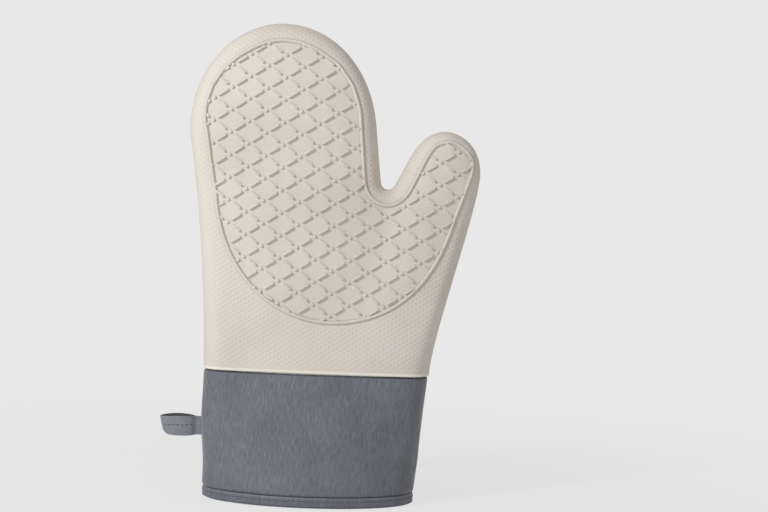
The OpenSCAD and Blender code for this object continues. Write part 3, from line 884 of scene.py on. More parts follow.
class Recipe(Graph):
    """A Geometry Nodes tree with named inputs."""

    KINDS = {
        "Geometry": "NodeSocketGeometry", "Object": "NodeSocketObject",
        "Material": "NodeSocketMaterial", "Float": "NodeSocketFloat",
    }

    def __init__(self, name, **inputs):
        super().__init__(bpy.data.node_groups.new(name, "GeometryNodeTree"))
        face = self.tree.interface
        face.new_socket("Geometry", in_out="INPUT", socket_type=self.KINDS["Geometry"])
        face.new_socket("Geometry", in_out="OUTPUT", socket_type=self.KINDS["Geometry"])
        self.sockets = {
            key: face.new_socket(key, in_out="INPUT", socket_type=self.KINDS[kind]).identifier
            for key, kind in inputs.items()
        }
        self.entry = self.node("NodeGroupInput")

    def given(self, name):
        return self.entry.out(name)

    def given_line(self):
        """The edges that the recipe runs on, as a curve."""
        return self.node("GeometryNodeMeshToCurve", None, {"Mesh": self.given("Geometry")})

    def position(self):
        return self.node("GeometryNodeInputPosition")

    def moved(self, geometry, position):
        inputs = {"Geometry": geometry, "Position": position}
        return self.node("GeometryNodeSetPosition", None, inputs)

    def stored(self, geometry, name, value):
        settings = {"data_type": "FLOAT", "domain": "POINT"}
        inputs = {"Geometry": geometry, "Name": name, "Value": value}
        return self.node("GeometryNodeStoreNamedAttribute", settings, inputs)

    def read(self, name):
        return self.node("GeometryNodeInputNamedAttribute", {"data_type": "FLOAT"}, {"Name": name})

    def logic(self, operation, *values):
        return self.node("FunctionNodeBooleanMath", {"operation": operation}, values)

    def realized(self, geometry):
        return self.node("GeometryNodeRealizeInstances", None, [geometry])

    def finish(self, geometry):
        """Realizes, smooths and paints the result."""
        real = self.realized(geometry)
        smooth = self.node("GeometryNodeSetShadeSmooth", None, {"Geometry": real})
        inputs = {"Geometry": smooth, "Material": self.given("Material")}
        self.node("NodeGroupOutput", None, [self.node("GeometryNodeSetMaterial", None, inputs)])

    def turned_out(self, geometry):
        """Turns the faces over on the back, where laying them on the skin has mirrored them."""
        inputs = {"Mesh": geometry, "Selection": self.given("Side") < 0.0}
        return self.node("GeometryNodeFlipFaces", None, inputs)

    def skin_hit(self, x, z):
        """Where a line along Y through (x, z) meets the skin, from the given side."""
        settings = {"transform_space": "ORIGINAL"}
        skin = self.node("GeometryNodeObjectInfo", settings, {"Object": self.given("Skin")})
        side = self.given("Side")
        return self.node("GeometryNodeRaycast", None, {
            "Target Geometry": skin.out("Geometry"),
            "Source Position": self.vector(x, side * -RAY_START, z),
            "Ray Direction": self.vector(0.0, side, 0.0), "Ray Length": RAY_LENGTH,
        })

    def use(self, obj, **values):
        """Runs the recipe on an object and keeps its result as a plain mesh."""
        modifier = obj.modifiers.new(self.tree.name, "NODES")
        modifier.node_group = self.tree
        for key, value in values.items():
            modifier[self.sockets[key]] = value
        obj.update_tag()
        return settle(obj)


def bead_recipe():
    """Lays a bead on the skin. It comes in flat, with its heights along Y."""
    r = Recipe("bead_on_skin", Skin="Object", Side="Float", Material="Material")
    x, height, z = r.parts(r.position())
    hit = r.skin_hit(x, z)
    lift = r.scaled(hit.out("Hit Normal"), height)
    place = r.vector_maths("ADD", hit.out("Hit Position"), lift)
    r.finish(r.turned_out(r.moved(r.given("Geometry"), place)))
    return r


# Sides of a tube, and the segments and rings of a stitch
TUBE_SIDES = 12
THREAD_SHAPE = 8, 6


def tube_recipe():
    """A round tube along a line."""
    r = Recipe("tube_on_line", Width="Float", Material="Material")
    ring = r.node("GeometryNodeCurvePrimitiveCircle", None, {
        "Resolution": TUBE_SIDES, "Radius": r.given("Width") / 2,
    })
    along = {"Curve": r.given_line(), "Profile Curve": ring}
    r.finish(r.node("GeometryNodeCurveToMesh", None, along))
    return r


def capsule(r, length, width, height, segments, rings, edge=0.0):
    """A bar along X with rounded ends, its upper half `height` high and its foot sunk.

    With an edge over 0 its top is flat, and falls away over that share of the round.
    """
    ball = r.node("GeometryNodeMeshUVSphere", None, {
        "Segments": segments, "Rings": rings, "Radius": 1.0,
    })
    x, y, z = r.parts(r.position())
    straight = (length - width) / 2
    rise = x.smooth(0.0, edge) + x.at_most(0.0) if edge else x
    bar = r.vector(z * (width / 2) + z.sign() * straight, y * (width / -2), rise * height)
    return r.moved(ball, bar)


# The lattice: its grid points each way, the segments, rings and edge of a rib or stud, how
# much of a rib may reach out past the bead, how deep its foot is sunk in metres, and how dark
# the painted shade in the crease round it is
LATTICE_GRID = 40
RIB_SHAPE = 16, 11, 0.75
RIB_MARGIN = 0.2
FOOT = 0.35 * MM
RIB_PAINTED_SHADE = 0.5


class Panel:
    """The area inside the given line, laid out flat with X across and Y up."""

    def __init__(self, r):
        self.r = r
        x, y, z = r.parts(r.position())
        self.line = r.moved(r.given_line(), r.vector(x, z, 0.0))
        self.area = r.node("GeometryNodeFillCurve", None, [self.line])

    def holds(self, position):
        """1 where a flat position is inside the line."""
        x, y, z = self.r.parts(position)
        return self.r.node("GeometryNodeRaycast", None, {
            "Target Geometry": self.area, "Source Position": self.r.vector(x, y, RAY_START),
            "Ray Direction": (0, 0, -1), "Ray Length": RAY_LENGTH,
        }).out("Is Hit")

    def nearest(self, position):
        """The nearest place on the line, and by another output how far it is."""
        x, y, z = self.r.parts(position)
        return self.r.node("GeometryNodeProximity", {"target_element": "EDGES"}, {
            0: self.r.node("GeometryNodeCurveToMesh", None, {"Curve": self.line}),
            "Sample Position": self.r.vector(x, y, 0.0),
        })


def lattice_points(r, shift):
    """Points half a cell apart each way, shifted by a share of that from a node of the lattice.

    Their `odd` attribute is 1 where column and row add up to an odd number, and else 0.
    """
    step_x, step_y = r.given("Cell_width") / 2, r.given("Cell_height") / 2
    grid = r.node("GeometryNodeMeshGrid", None, {
        "Size X": step_x * (LATTICE_GRID - 1), "Size Y": step_y * (LATTICE_GRID - 1),
        "Vertices X": LATTICE_GRID, "Vertices Y": LATTICE_GRID,
    })
    x, y, z = r.parts(r.position())
    column = ((x - step_x / 2) / step_x).rounded()
    row = ((y - step_y / 2) / step_y).rounded()
    place = r.vector(
        (column + shift) * step_x + r.given("Node_x"),
        (row + shift) * step_y + r.given("Node_z"), 0.0,
    )
    return r.moved(r.stored(grid, "odd", (column + row).modulo(2.0)), place)


def spread(r, shape, points, angle, kept):
    """The shape on the kept points. Where `odd` is 1, it is as short as Down_share says."""
    share = 1.0 - r.read("odd") * (1.0 - r.given("Down_share"))
    return r.node("GeometryNodeInstanceOnPoints", None, {
        "Points": points, "Selection": kept, "Instance": shape,
        "Rotation": r.vector(0.0, 0.0, angle), "Scale": r.vector(share, 1.0, 1.0),
    })


def flat_lattice(r, panel):
    """Ribs along both diagonals of the cells, and studs where they cross."""
    rib = capsule(
        r, r.given("Rib_length"), r.given("Rib_width"), r.given("Rib_height"), *RIB_SHAPE
    )
    stud = capsule(
        r, r.given("Stud_width"), r.given("Stud_width"), r.given("Stud_height"), *RIB_SHAPE
    )
    slope = r.given("Cell_height").arctan2(r.given("Cell_width"))
    held = panel.holds(r.position())
    near = panel.nearest(r.position()).out("Distance")
    rib_kept = r.logic("OR", held, near < r.given("Rib_length") * RIB_MARGIN)
    stud_kept = r.logic("AND", held, r.read("odd") < 0.5)
    ribs = spread(r, rib, lattice_points(r, 0.5), slope - 2 * slope * r.read("odd"), rib_kept)
    studs = spread(r, stud, lattice_points(r, 0.0), 0.0, stud_kept)
    both = r.node("GeometryNodeJoinGeometry")
    for part in (ribs, studs):
        r.tree.links.new(part.socket, both.node.inputs[0])
    return r.realized(both)


def lattice_recipe():
    """Diamond lattice of ribs and studs on the skin, held inside a closed line.

    The lattice is laid out flat, X across and Y up, with heights along Z. Then what lies
    outside the line is drawn in under the bead, and all of it is set down on the skin.
    """
    r = Recipe(
        "grip_lattice", Skin="Object", Side="Float", Cell_width="Float", Cell_height="Float",
        Node_x="Float", Node_z="Float", Rib_length="Float", Rib_width="Float",
        Rib_height="Float", Down_share="Float", Stud_width="Float", Stud_height="Float",
        Material="Material",
    )
    panel = Panel(r)
    flat = flat_lattice(r, panel)
    x, y, height = r.parts(r.position())
    held = panel.holds(r.position())
    line_x, line_y, line_z = r.parts(panel.nearest(r.position()).out("Position"))
    x_in = r.choose(held, line_x, x)
    z_in = r.choose(held, line_y, y)
    sunk = height.at_least(-FOOT)
    height_in = r.choose(held, sunk.at_most(0.0), sunk)
    skin_x, skin_y, skin_z = r.parts(r.skin_hit(x_in, z_in).out("Hit Position"))
    laid = r.vector(x_in, skin_y - r.given("Side") * height_in, z_in)
    # Painted shade at the foot of the studs and of the ribs that run up; the ribs that run down
    # get none
    low = 1.0 - sunk.smooth(0.0, r.given("Rib_height") * 0.5)
    crease = (RIB_PAINTED_SHADE - RIB_PAINTED_SHADE * r.read("odd")) * low
    r.finish(r.turned_out(r.moved(r.stored(flat, "crease", crease), laid)))
    return r


def stitch_recipe():
    """Short threads in a row along a line."""
    r = Recipe("stitches", Pitch="Float", Length="Float", Width="Float", Material="Material")
    spaced = r.node("GeometryNodeResampleCurve", {"mode": "LENGTH"}, {
        "Curve": r.given_line(), "Length": r.given("Pitch"),
    })
    thread = capsule(r, r.given("Length"), r.given("Width"), r.given("Width") / 2, *THREAD_SHAPE)
    aim = r.node("FunctionNodeAlignRotationToVector", {"axis": "X"}, {
        "Vector": r.node("GeometryNodeInputTangent"),
    })
    r.finish(r.node("GeometryNodeInstanceOnPoints", None, {
        "Points": spaced, "Instance": thread, "Rotation": aim,
    }))
    return r


BEAD = bead_recipe()
TUBE = tube_recipe()
LATTICE = lattice_recipe()
STITCHES = stitch_recipe()


def stitch_row(name, line, closed, pitch, length, width):
    """Grey thread along a line, its stitches `length` long and `pitch` apart."""
    return STITCHES.use(
        line_object(name, line, closed), Pitch=pitch * MM, Length=length * MM,
        Width=width * MM, Material=THREAD,
    )


# ---- Silicone ----
# Subdivision draws a surface in by this much, so its control points start further out
ROUNDING_LOSS = 0.45

# The bead: its steps over the round, how steep the round is, the painted shade in the crease at
# its side, and its foot on each side as distance from the round, height and painted shade
BEAD_STEPS = 15
BEAD_STEEP = 1.1
BEAD_PAINTED_SHADE = 0.35
BEAD_FOOT = [(0.9, -0.06, 0.0), (0.5, 0.04, 0.2), (0.15, 0.03, BEAD_PAINTED_SHADE)]
BEAD_SUNK = 0.5

# The grain starts between these two distances from the bead and above the wrist
GRAIN_FROM_BEAD = 1.2, 3.0
GRAIN_FROM_WRIST = 2.5, 4.5

# The lip at the wrist, which the silicone finish paints with a highlight: its width, and how
# far it lies inside the skin and below it
LIP_W = 2.2
LIP_IN = 0.25
LIP_DROP = 0.2


def hand_cage(a, name):
    """Both halves of one surface of the hand, joined along the middle plane."""
    half = HandSurface(a)
    palm = np.array(half.points)
    count = len(palm)
    shared = {half.ids["rim", k, 0] for k in range(K_LAST + 1)}
    extra = [i for i in range(count) if i not in shared]
    back = {i: i for i in shared} | {i: count + n for n, i in enumerate(extra)}
    points = np.vstack([palm, palm[extra] * [1, -1, 1]])
    flat = np.vstack([half.flat, np.array(half.flat)[extra]])
    faces = half.faces()
    faces += [[back[i] for i in reversed(face)] for face in half.faces()]
    return mesh_object(name, points, faces, uv=flat)


def make_skin():
    """The moulded skin: rounded from its control points, with a wall of its own."""
    skin = subdivide(hand_cage(-ROUNDING_LOSS, "silicone_skin"), 3)
    skin.data.materials.append(SILICONE)
    points = coordinates(skin)
    beyond_bead = smoothstep(*GRAIN_FROM_BEAD, outside_panel(points[:, [0, 2]]))
    above_wrist = smoothstep(*GRAIN_FROM_WRIST, points[:, 2] - CUFF_H)
    set_attribute(skin, "grain", beyond_bead * above_wrist)
    return thicken(skin, SILICONE_T)


def flat_bead(name):
    """The bead's section carried round its path: a steep round bar between two creases.

    Its foot and the creases are darkened with painted shade.
    """
    half = BEAD_W / 2
    # Painted shade at the bar's foot, fading out towards its top
    bar = [
        (half * math.cos(t), BEAD_H * math.sin(t) ** BEAD_STEEP,
         BEAD_PAINTED_SHADE * max(0.0, 1 - math.sin(t)))
        for t in np.linspace(0, math.pi, BEAD_STEPS)
    ]
    foot = [(half + away, height, crease) for away, height, crease in BEAD_FOOT]
    other_foot = [(-away, height, crease) for away, height, crease in reversed(foot)]
    sunk = [(-half, -BEAD_SUNK, 0.0), (half, -BEAD_SUNK, 0.0)]
    profile = foot + bar + other_foot + sunk
    points, painted_crease_shades = [], []
    for inset, height, crease in profile:
        points.append(at_height(offset_loop(BEAD_PATH, inset), height)[:, [0, 2, 1]])
        painted_crease_shades += [crease] * len(BEAD_PATH)
    faces = ring_faces(len(profile), len(BEAD_PATH))
    obj = mesh_object(name, np.vstack(points), faces)
    set_attribute(obj, "crease", painted_crease_shades)
    return obj


skin = make_skin()
bead_line = at_height(BEAD_PATH, 0.0)[:, [0, 2, 1]]
moulded = [skin]
for side, face in ((1.0, "palm"), (-1.0, "back")):
    bead = BEAD.use(flat_bead(f"grip_bead_{face}"), Skin=skin, Side=side, Material=SILICONE)
    lattice = LATTICE.use(
        line_object(f"grip_lattice_{face}", bead_line, True), Skin=skin, Side=side,
        Cell_width=DIAMOND_W * MM, Cell_height=DIAMOND_H * MM,
        Node_x=LATTICE_NODE[0] * MM, Node_z=LATTICE_NODE[1] * MM,
        Rib_length=RIB_L * MM, Rib_width=RIB_W * MM, Rib_height=RIB_H * MM,
        Down_share=DOWN_SHARE,
        Stud_width=STUD_D * MM, Stud_height=STUD_H * MM, Material=SILICONE,
    )
    moulded += [bead, lattice]

lip_line = at_height(offset_loop(cuff_loop(CUFF_H, 0), LIP_IN), CUFF_H + LIP_W / 2 - LIP_DROP)
moulded.append(
    TUBE.use(line_object("silicone_lip", lip_line, True), Width=LIP_W * MM, Material=SILICONE)
)
for piece in moulded:
    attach(piece, "mitt")
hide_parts("silicone_shell")


# ---- Liner ----
# Each layer's halves meet this far from the middle plane
SPLIT = 0.05

# A layer's lowest points, and its rows of points from the wrist to where the flare ends
LAYER_LOW = 1.0
FLARE_STEPS = 4

# Size and puff of the stitched diamonds
QUILT = 26.0
QUILT_H = 1.1


def layer_cage(a, name):
    """Palm half of a layer's outer face, from the fingertips down into the hem."""
    half = HandSurface(a)
    points, faces = list(half.points), half.faces()
    above = half.wrist_ids()
    levels = np.linspace(CUFF_H, FLARE_END, FLARE_STEPS)[1:].tolist() + [LAYER_LOW]
    for z in levels:
        below = list(range(len(points), len(points) + len(above)))
        points += list(at_height(cuff_control(z, a)[:len(above)], z))
        faces += [
            [below[c], below[c + 1], above[c + 1], above[c]] for c in range(len(above) - 1)
        ]
        above = below
    points = np.array(points)
    points[:, 1] = np.minimum(points[:, 1], -SPLIT)
    return mesh_object(name, points, faces)


def quilt(obj):
    """Puffs the lining between its stitched diamonds, towards the hand.

    The stitched valleys between the puffs get painted shade.
    """
    points, normals = coordinates(obj), vertex_vectors(obj, "normal")
    p = (points[:, 0] + points[:, 2]) / QUILT
    q = (points[:, 0] - points[:, 2]) / QUILT
    puff = np.sqrt(np.abs(np.sin(math.pi * p) * np.sin(math.pi * q)))
    move_to(obj, points - normals * (puff * QUILT_H)[:, None])
    # Painted shade along the stitched valleys, where the puff is low
    set_attribute(obj, "shade", 1 - smoothstep(0.0, 0.35, puff))


def mirror_back(obj, name):
    """The back half of a layer, from its palm half."""
    copy = new_object(name, obj.data.copy())
    copy.data.name = name
    move_to(copy, coordinates(obj) * [1, -1, 1])
    copy.data.flip_normals()
    return copy


wadding = subdivide(layer_cage(WADDING_OUT, "palm_wadding_pad"), 2)
wadding.data.materials.append(WADDING)
thicken(wadding, WADDING_T)
lining = subdivide(layer_cage(LINING_OUT, "palm_lining_quilt"), 3)
lining.data.materials.append(LINING)
quilt(lining)
thicken(lining, LINING_T)

liner = {
    "palm_wadding": wadding, "palm_lining": lining,
    "back_wadding": mirror_back(wadding, "back_wadding_pad"),
    "back_lining": mirror_back(lining, "back_lining_quilt"),
}
for node, piece in liner.items():
    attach(piece, "mitt")
    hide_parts(node)


# ---- Cuff ----
# How deep the cloth is drawn in under the silicone, at the side seams and above the hem, and
# over what height or width
TUCK_H, TUCK_D = 2.2, 1.7
SEAM_W, SEAM_D = 2.4, 0.6
TOP_STITCH_Z, TOP_STITCH_W, TOP_STITCH_D = CUFF_H - 1.5, 0.7, 0.3
HEM_TOP = HEM_H - 0.5
HEM_GROOVE_Z, HEM_GROOVE_W, HEM_GROOVE_D = HEM_TOP + 0.3, 0.9, 0.9

# How far the cloth stands out above the hem and at its left side, and round what height
HEM_PLUMP_Z, HEM_PLUMP_W, HEM_PLUMP_D = HEM_TOP + 4, 6, 0.25
SIDE_PLUMP_Z, SIDE_PLUMP_W, SIDE_PLUMP_D = 54, 27, 1.9

# Rows of the cloth between heights. They lie closest by the hem and under the silicone.
CUFF_LOW, CUFF_HIGH = 1.0, CUFF_H - 0.1
CUFF_ROWS = [
    (CUFF_LOW, HEM_TOP - 1, 6), (HEM_TOP - 1, HEM_H + 4, 16),
    (HEM_H + 4, CUFF_H - 8, 46), (CUFF_H - 8, CUFF_HIGH, 18),
]

# How dark the painted shade is where the cloth goes in under the silicone, and how wide the
# line of painted shade is in the groove above the hem
TUCK_SHADE = 0.8
HEM_SHADE_W = 0.6


def waves(turn, z, depth, count, slant=0.0, start=0.0):
    """Waves round the tube: how deep, how many, how far they slant, and where they start."""
    return depth * np.sin(count * turn + slant * z + start)


def cuff_inset(z, around):
    """How far the canvas lies under its outer line, at height z and place around the loop."""
    turn = 2 * math.pi * around
    inset = TUCK_D * (1 - smoothstep(0, TUCK_H, CUFF_H - z)) ** 1.5
    inset += TOP_STITCH_D * swell(z, TOP_STITCH_Z, TOP_STITCH_W)
    inset += HEM_GROOVE_D * swell(z, HEM_GROOVE_Z, HEM_GROOVE_W)
    inset -= HEM_PLUMP_D * swell(z, HEM_PLUMP_Z, HEM_PLUMP_W)
    left_side = np.maximum(0, np.cos(turn)) ** 6
    plump = SIDE_PLUMP_D * swell(z, SIDE_PLUMP_Z, SIDE_PLUMP_W) * left_side
    drape = waves(turn, z, 0.45, 5, 0.05) * math.sin(0.035 * z + 1.0)
    drape += waves(turn, z, 0.25, 11, -0.04, 2.0) + waves(turn, z, 0.12, 23, 0.11)
    drape *= smoothstep(0, 30, CUFF_H - z) * smoothstep(0, 25, z - HEM_H)
    gather = waves(turn, z, 0.12, 61) * swell(z, CUFF_H - 6, 5)
    return inset - plump + drape + gather


def make_cuff():
    """The cuff's closed cloth tube as rows of points."""
    heights = np.concatenate([
        np.linspace(low, high, rows)[:-1] for low, high, rows in CUFF_ROWS
    ] + [[CUFF_HIGH]])
    around = np.arange(LOOP_N) / LOOP_N
    from_seam = np.abs(((around * 2 + 0.5) % 1) - 0.5) / 2
    rows = []
    for z in heights:
        loop = cuff_loop(z, CANVAS_OUT)
        girth = run_along(np.vstack([loop, loop[:1]]))[-1]
        seam = SEAM_D * (1 - smoothstep(0, SEAM_W, from_seam * girth))
        rows.append(at_height(offset_loop(loop, cuff_inset(z, around) + seam), z))
    return np.array(rows)


cuff_points = make_cuff()


def cuff_panel(name, columns):
    """One panel of the cuff, from its columns of points."""
    grid = cuff_points[:, columns]
    rows, count = grid.shape[:2]
    run = run_along(grid[rows // 2])
    uv = np.stack([np.tile(run, rows), grid[:, :, 2].ravel()], 1)
    points = grid.reshape(-1, 3)
    panel = mesh_object(name, points, sheet_faces(rows, count), uv=uv, material=CANVAS)
    height = points[:, 2]
    # Painted shade in the groove above the hem and where the cloth goes in under the silicone
    shade = swell(height, HEM_GROOVE_Z, HEM_SHADE_W)
    shade += TUCK_SHADE * (1 - smoothstep(0.6, TUCK_H, CUFF_H - height))
    set_attribute(panel, "shade", np.clip(shade, 0, 1))
    return thicken(panel, CANVAS_T)


half_n = LOOP_N // 2
palm_cuff = cuff_panel("palm_cuff_cloth", np.arange(half_n + 1))
back_cuff = cuff_panel("back_cuff_cloth", np.arange(half_n, LOOP_N + 1) % LOOP_N)


# ---- Hem ----
# The folded binding: its wall, how far its outer and inner face lie under the cuff's outer
# line, and the radius of its folds
HEM_T = 1.0
HEM_OUT, HEM_IN = 0.15, 7.2
HEM_R = 2.4

# Its outer face from the top down, as distance further under that line, and drop. The fifth
# pair is the groove that the stitches lie in, between two ridges.
HEM_FACE = [(0.7, 0.0), (0.2, 0.15), (0.0, 0.6), (-0.1, 1.3), (0.2, 2.2), (-0.1, 3.1), (0.0, 4.2)]
HEM_STITCH_DROP = 2.5


def hem_profile():
    """Closed section of the folded binding: distance under the cuff's outer line, and height."""
    def fold(middle, *angles):
        turns = np.radians(angles)
        return [(middle - HEM_R * math.cos(a), HEM_R - HEM_R * math.sin(a)) for a in turns]

    outside = [(HEM_OUT + inset, HEM_TOP - drop) for inset, drop in HEM_FACE]
    outside += [(HEM_OUT, HEM_R)] + fold(HEM_OUT + HEM_R, 18, 36, 54, 72, 90)
    outside += [(HEM_IN - HEM_R, 0.0)] + fold(HEM_IN - HEM_R, 112, 135, 158, 180)
    outside += [(HEM_IN, HEM_TOP - 0.8), (HEM_IN - 0.2, HEM_TOP)]
    inside = [
        (HEM_IN - HEM_T, HEM_TOP - 0.1), (HEM_IN - HEM_T, HEM_R + 0.4), (HEM_IN - HEM_R, HEM_T),
        (HEM_OUT + HEM_R, HEM_T), (HEM_OUT + HEM_T, HEM_R + 0.4),
        (HEM_OUT + HEM_T + 0.2, HEM_TOP - 0.2),
    ]
    return np.array(outside + inside)


def make_hem():
    profile = hem_profile()
    base = cuff_loop(HEM_H, CANVAS_OUT)
    run = run_along(base)
    points = [at_height(offset_loop(base, inset), z) for inset, z in profile]
    uv = [np.column_stack([run, np.full(LOOP_N, HEM_H - v)]) for v in run_along(profile)]
    faces = ring_faces(len(profile), LOOP_N)
    return mesh_object(
        "hem_binding_tape", np.vstack(points), faces, uv=np.vstack(uv), material=HEM_TAPE,
    )


def cuff_line(z, inset):
    return at_height(offset_loop(cuff_loop(z, 0), inset), z)


hem = make_hem()
hem_stitches = stitch_row(
    "hem_stitches", cuff_line(HEM_TOP - HEM_STITCH_DROP, CANVAS_OUT - 0.05),
    closed=True, pitch=3.4, length=2.5, width=0.6,
)
top_stitches = stitch_row(
    "cuff_top_stitches", cuff_line(TOP_STITCH_Z, CANVAS_OUT + 0.65),
    closed=True, pitch=3.1, length=2.2, width=0.7,
)

for piece, slot, nodes in (
    (palm_cuff, "cuff_canvas", ["palm_cuff"]), (back_cuff, "cuff_canvas", ["back_cuff"]),
    (hem, "hem_tape", ["hem_binding"]), (hem_stitches, "hem_tape", []),
    (top_stitches, "cuff_canvas", []),
):
    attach(piece, "mitt")
    if nodes:
        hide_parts(*nodes)


# ---- Hanging loop ----
TAPE_W = LOOP_HIGH[2] - LOOP_LOW[2]
TAPE_T = 1.3
LOOP_Z = (LOOP_HIGH[2] + LOOP_LOW[2]) / 2
ROOT_R = TAPE_T + 0.2
PIVOT_X = LOOP_HIGH[0] - ROOT_R
LOOP_HALF_D = 4.8
LOOP_STEPS = 15

# How much shorter the lower edge is, how much its corner is rounded off, how far the tape
# leans, how its middle is raised at the lower and the upper edge, and how much of its width
# it keeps
LOOP_SLANT = 3.0
LOOP_TURN = 2.6
LOOP_LEAN = 0.13
LOOP_ARCH = -0.35, 1.0
LOOP_KEPT_W = 0.93

# Where the tape's two sides start to part, where they are fully apart, and where the sewn
# root ends, all counted from the pivot
LOOP_PARTS = 2.2, 6.5
LOOP_NECK = 2.0
LOOP_ROOT = 4.0, 1.5

# The tape's wall, the radius of its edges, and how dark the painted shade on its inner side is
LOOP_WALL = TAPE_T * 0.85
LOOP_EDGE_R = 0.35
LOOP_SHADE = 0.75

# The loop's line turns once round. The first and last steps of the turn lie in the root.
LOOP_ANGLES = np.radians(np.linspace(0, 360, 73))[4:-4]


def loop_line(v):
    """Centre line of the tape at v across its width, -0.5 at the lower edge to 0.5.

    It leaves the seam, runs round the end and comes back. The lower corner is rounded off.
    """
    corner = max(0.0, -0.25 - v) / 0.25
    reach = PIVOT_X - LOOP_LOW[0] - TAPE_T / 2 - LOOP_SLANT * (0.5 - v) - LOOP_TURN * corner**2
    x = -mix(LOOP_NECK, reach, (1 - np.cos(LOOP_ANGLES)) / 2)
    y = LOOP_HALF_D * np.sin(LOOP_ANGLES) * np.sqrt(np.sin(LOOP_ANGLES / 2))
    flat = np.sign(y) * TAPE_T * 0.5
    y = mix(flat, y + flat * 0.2, smoothstep(*LOOP_PARTS, -x))
    arch = np.sin(np.clip(-x / reach, 0, 1) * math.pi) * mix(*LOOP_ARCH, v + 0.5)
    z = LOOP_Z + v * TAPE_W * LOOP_KEPT_W + arch + y * LOOP_LEAN
    bulge = np.column_stack([x, y, z])
    root = np.array([[inwards, y[0], z[0]] for inwards in LOOP_ROOT])
    return np.vstack([root, bulge, root[::-1] * [1, -1, 1]]) + [PIVOT_X, 0, 0]


def make_loop():
    """The folded tape with its edges rounded, with painted shade on the inner side of its bend."""
    points, uv = [], []
    for v in np.linspace(-0.5, 0.5, LOOP_STEPS):
        path = loop_line(v)
        points.append(path)
        uv.append(np.column_stack([np.full(len(path), v * TAPE_W), run_along(path)]))
    tape = mesh_object(
        "hanging_loop_tape", np.vstack(points), sheet_faces(LOOP_STEPS, len(path)),
        uv=np.vstack(uv), material=LOOP_TAPE,
    )
    wall = tape.modifiers.new("wall", "SOLIDIFY")
    wall.thickness = LOOP_WALL * MM
    wall.offset = 0
    edge = tape.modifiers.new("edge", "BEVEL")
    edge.width = LOOP_EDGE_R * MM
    edge.segments = 3
    edge.limit_method = "ANGLE"
    settle(tape)
    # The inner side is where the surface faces the middle of the bend
    from_middle = coordinates(tape) - [PIVOT_X - 14, 0, 0]
    inward = -(vertex_vectors(tape, "normal") * from_middle * [0.25, 1, 0]).sum(1)
    # Painted shade on the inner side of the bend, in place of the shade inside the loop
    set_attribute(tape, "shade", LOOP_SHADE * smoothstep(0.5, 2.0, inward))
    return tape


loop = make_loop()
loop_stitch_line = loop_line(0.05)[8:-8]
loop_stitch_line[:, 1] += np.sign(loop_stitch_line[:, 1]) * TAPE_T * 0.42
loop_stitches = stitch_row(
    "loop_stitches", loop_stitch_line, closed=False, pitch=3.0, length=2.1, width=0.6
)
for piece in (loop, loop_stitches):
    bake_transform(piece)
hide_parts("hanging_loop")


# ---- Floor, light and camera ----
# Lengths here are metres
BACKDROP = srgb(232, 232, 232)
FLOOR_TONE = srgb(245, 245, 245)
FLOOR_HALF = 4.0

# The floor's share of the backdrop's colour near the object, and where it runs out into it
FLOOR_SHARE = 0.84
FADE_FROM, FADE_TO = 0.15, 0.7

WORLD_STRENGTH = 0.46
WORLD_COLOUR = (1.0, 0.985, 0.965, 1)

KEY_FROM = (-0.62, -0.64, 0.39)
KEY_AIM = (0, 0, 0.19)
KEY_DISTANCE = 1.3
KEY_SIZE = 0.17
KEY_POWER = 8.4
KEY_COLOUR = (0.955, 0.98, 1.0)

CAMERA_AT = (0.0446, -1.0, 0.190)
CAMERA_PITCH = math.radians(-0.88)
CAMERA_ROLL = math.radians(2.2)
CAMERA_LENS = 65.93


def empty_graph(owner):
    owner.use_nodes = True
    graph = Graph(owner.node_tree)
    graph.tree.nodes.clear()
    return graph


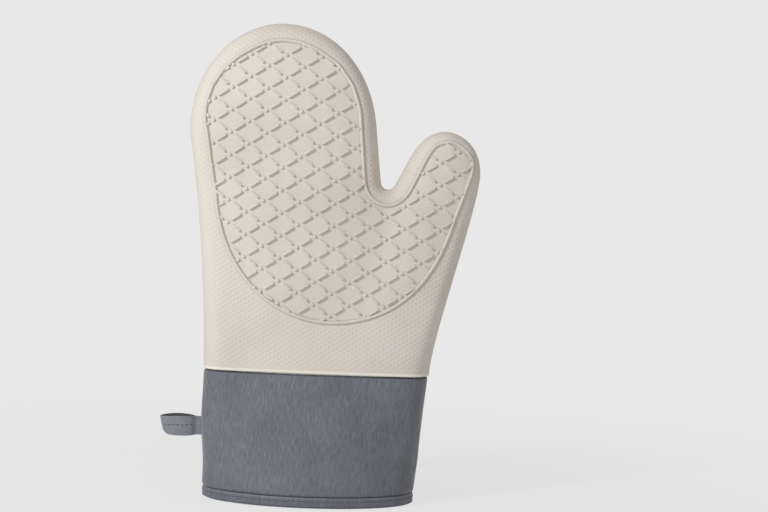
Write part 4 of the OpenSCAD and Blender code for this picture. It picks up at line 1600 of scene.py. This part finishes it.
def make_floor():
    """Pale floor that runs out into the backdrop and keeps the object's shadow."""
    material = bpy.data.materials.new("pale_floor")
    g = empty_graph(material)
    seen = g.node("ShaderNodeLightPath").out("Is Camera Ray")
    away = g.vector_maths("LENGTH", g.node("ShaderNodeTexCoord").out("Object")).out("Value")
    share = seen * (FLOOR_SHARE + (1 - FLOOR_SHARE) * away.smooth(FADE_FROM, FADE_TO))
    plain = g.node("ShaderNodeBsdfDiffuse", None, {"Color": FLOOR_TONE})
    glow = g.node("ShaderNodeEmission", None, {"Color": BACKDROP, "Strength": 1.0})
    shown = g.node("ShaderNodeMixShader", None, [share, plain, glow])
    g.node("ShaderNodeOutputMaterial", None, [shown])
    half = FLOOR_HALF / MM
    corners = [(-half, -half, 0), (half, -half, 0), (half, half, 0), (-half, half, 0)]
    mesh_object("floor", corners, [(0, 1, 2, 3)], material=material)


def make_world():
    """Even light from all round. The camera sees the backdrop's colour in its place."""
    world = bpy.data.worlds.new("studio")
    bpy.context.scene.world = world
    g = empty_graph(world)
    rays = g.node("ShaderNodeLightPath")
    seen = rays.out("Is Camera Ray").at_least(rays.out("Is Transmission Ray"))
    fill = g.node("ShaderNodeBackground", None, [WORLD_COLOUR, WORLD_STRENGTH])
    behind = g.node("ShaderNodeBackground", None, [BACKDROP, 1.0])
    shown = g.node("ShaderNodeMixShader", None, [seen, fill, behind])
    g.node("ShaderNodeOutputWorld", None, [shown])


def look_along(direction, roll=0.0):
    """Rotation that looks along a direction, with the top up and then a roll."""
    turn = Vector(direction).to_track_quat("-Z", "Y").to_matrix()
    return (turn @ Matrix.Rotation(roll, 3, "Z")).to_euler()


def make_key_light():
    """A square lamp from the upper left, in front."""
    lamp = bpy.data.lights.new("key", "AREA")
    lamp.size = KEY_SIZE
    lamp.energy = KEY_POWER
    lamp.color = KEY_COLOUR
    key = new_object("key", lamp)
    away = np.array(KEY_FROM) / np.linalg.norm(KEY_FROM)
    key.location = np.array(KEY_AIM) + away * KEY_DISTANCE
    key.rotation_euler = look_along(-away)


def make_camera():
    camera = new_object("camera", bpy.data.cameras.new("camera"))
    camera.data.sensor_width = 36
    camera.data.lens = CAMERA_LENS
    camera.location = CAMERA_AT
    ahead = (0, math.cos(CAMERA_PITCH), math.sin(CAMERA_PITCH))
    camera.rotation_euler = look_along(ahead, CAMERA_ROLL)
    bpy.context.scene.camera = camera


make_floor()
make_world()
make_key_light()
make_camera()
bpy.context.scene.view_settings.view_transform = "Standard"
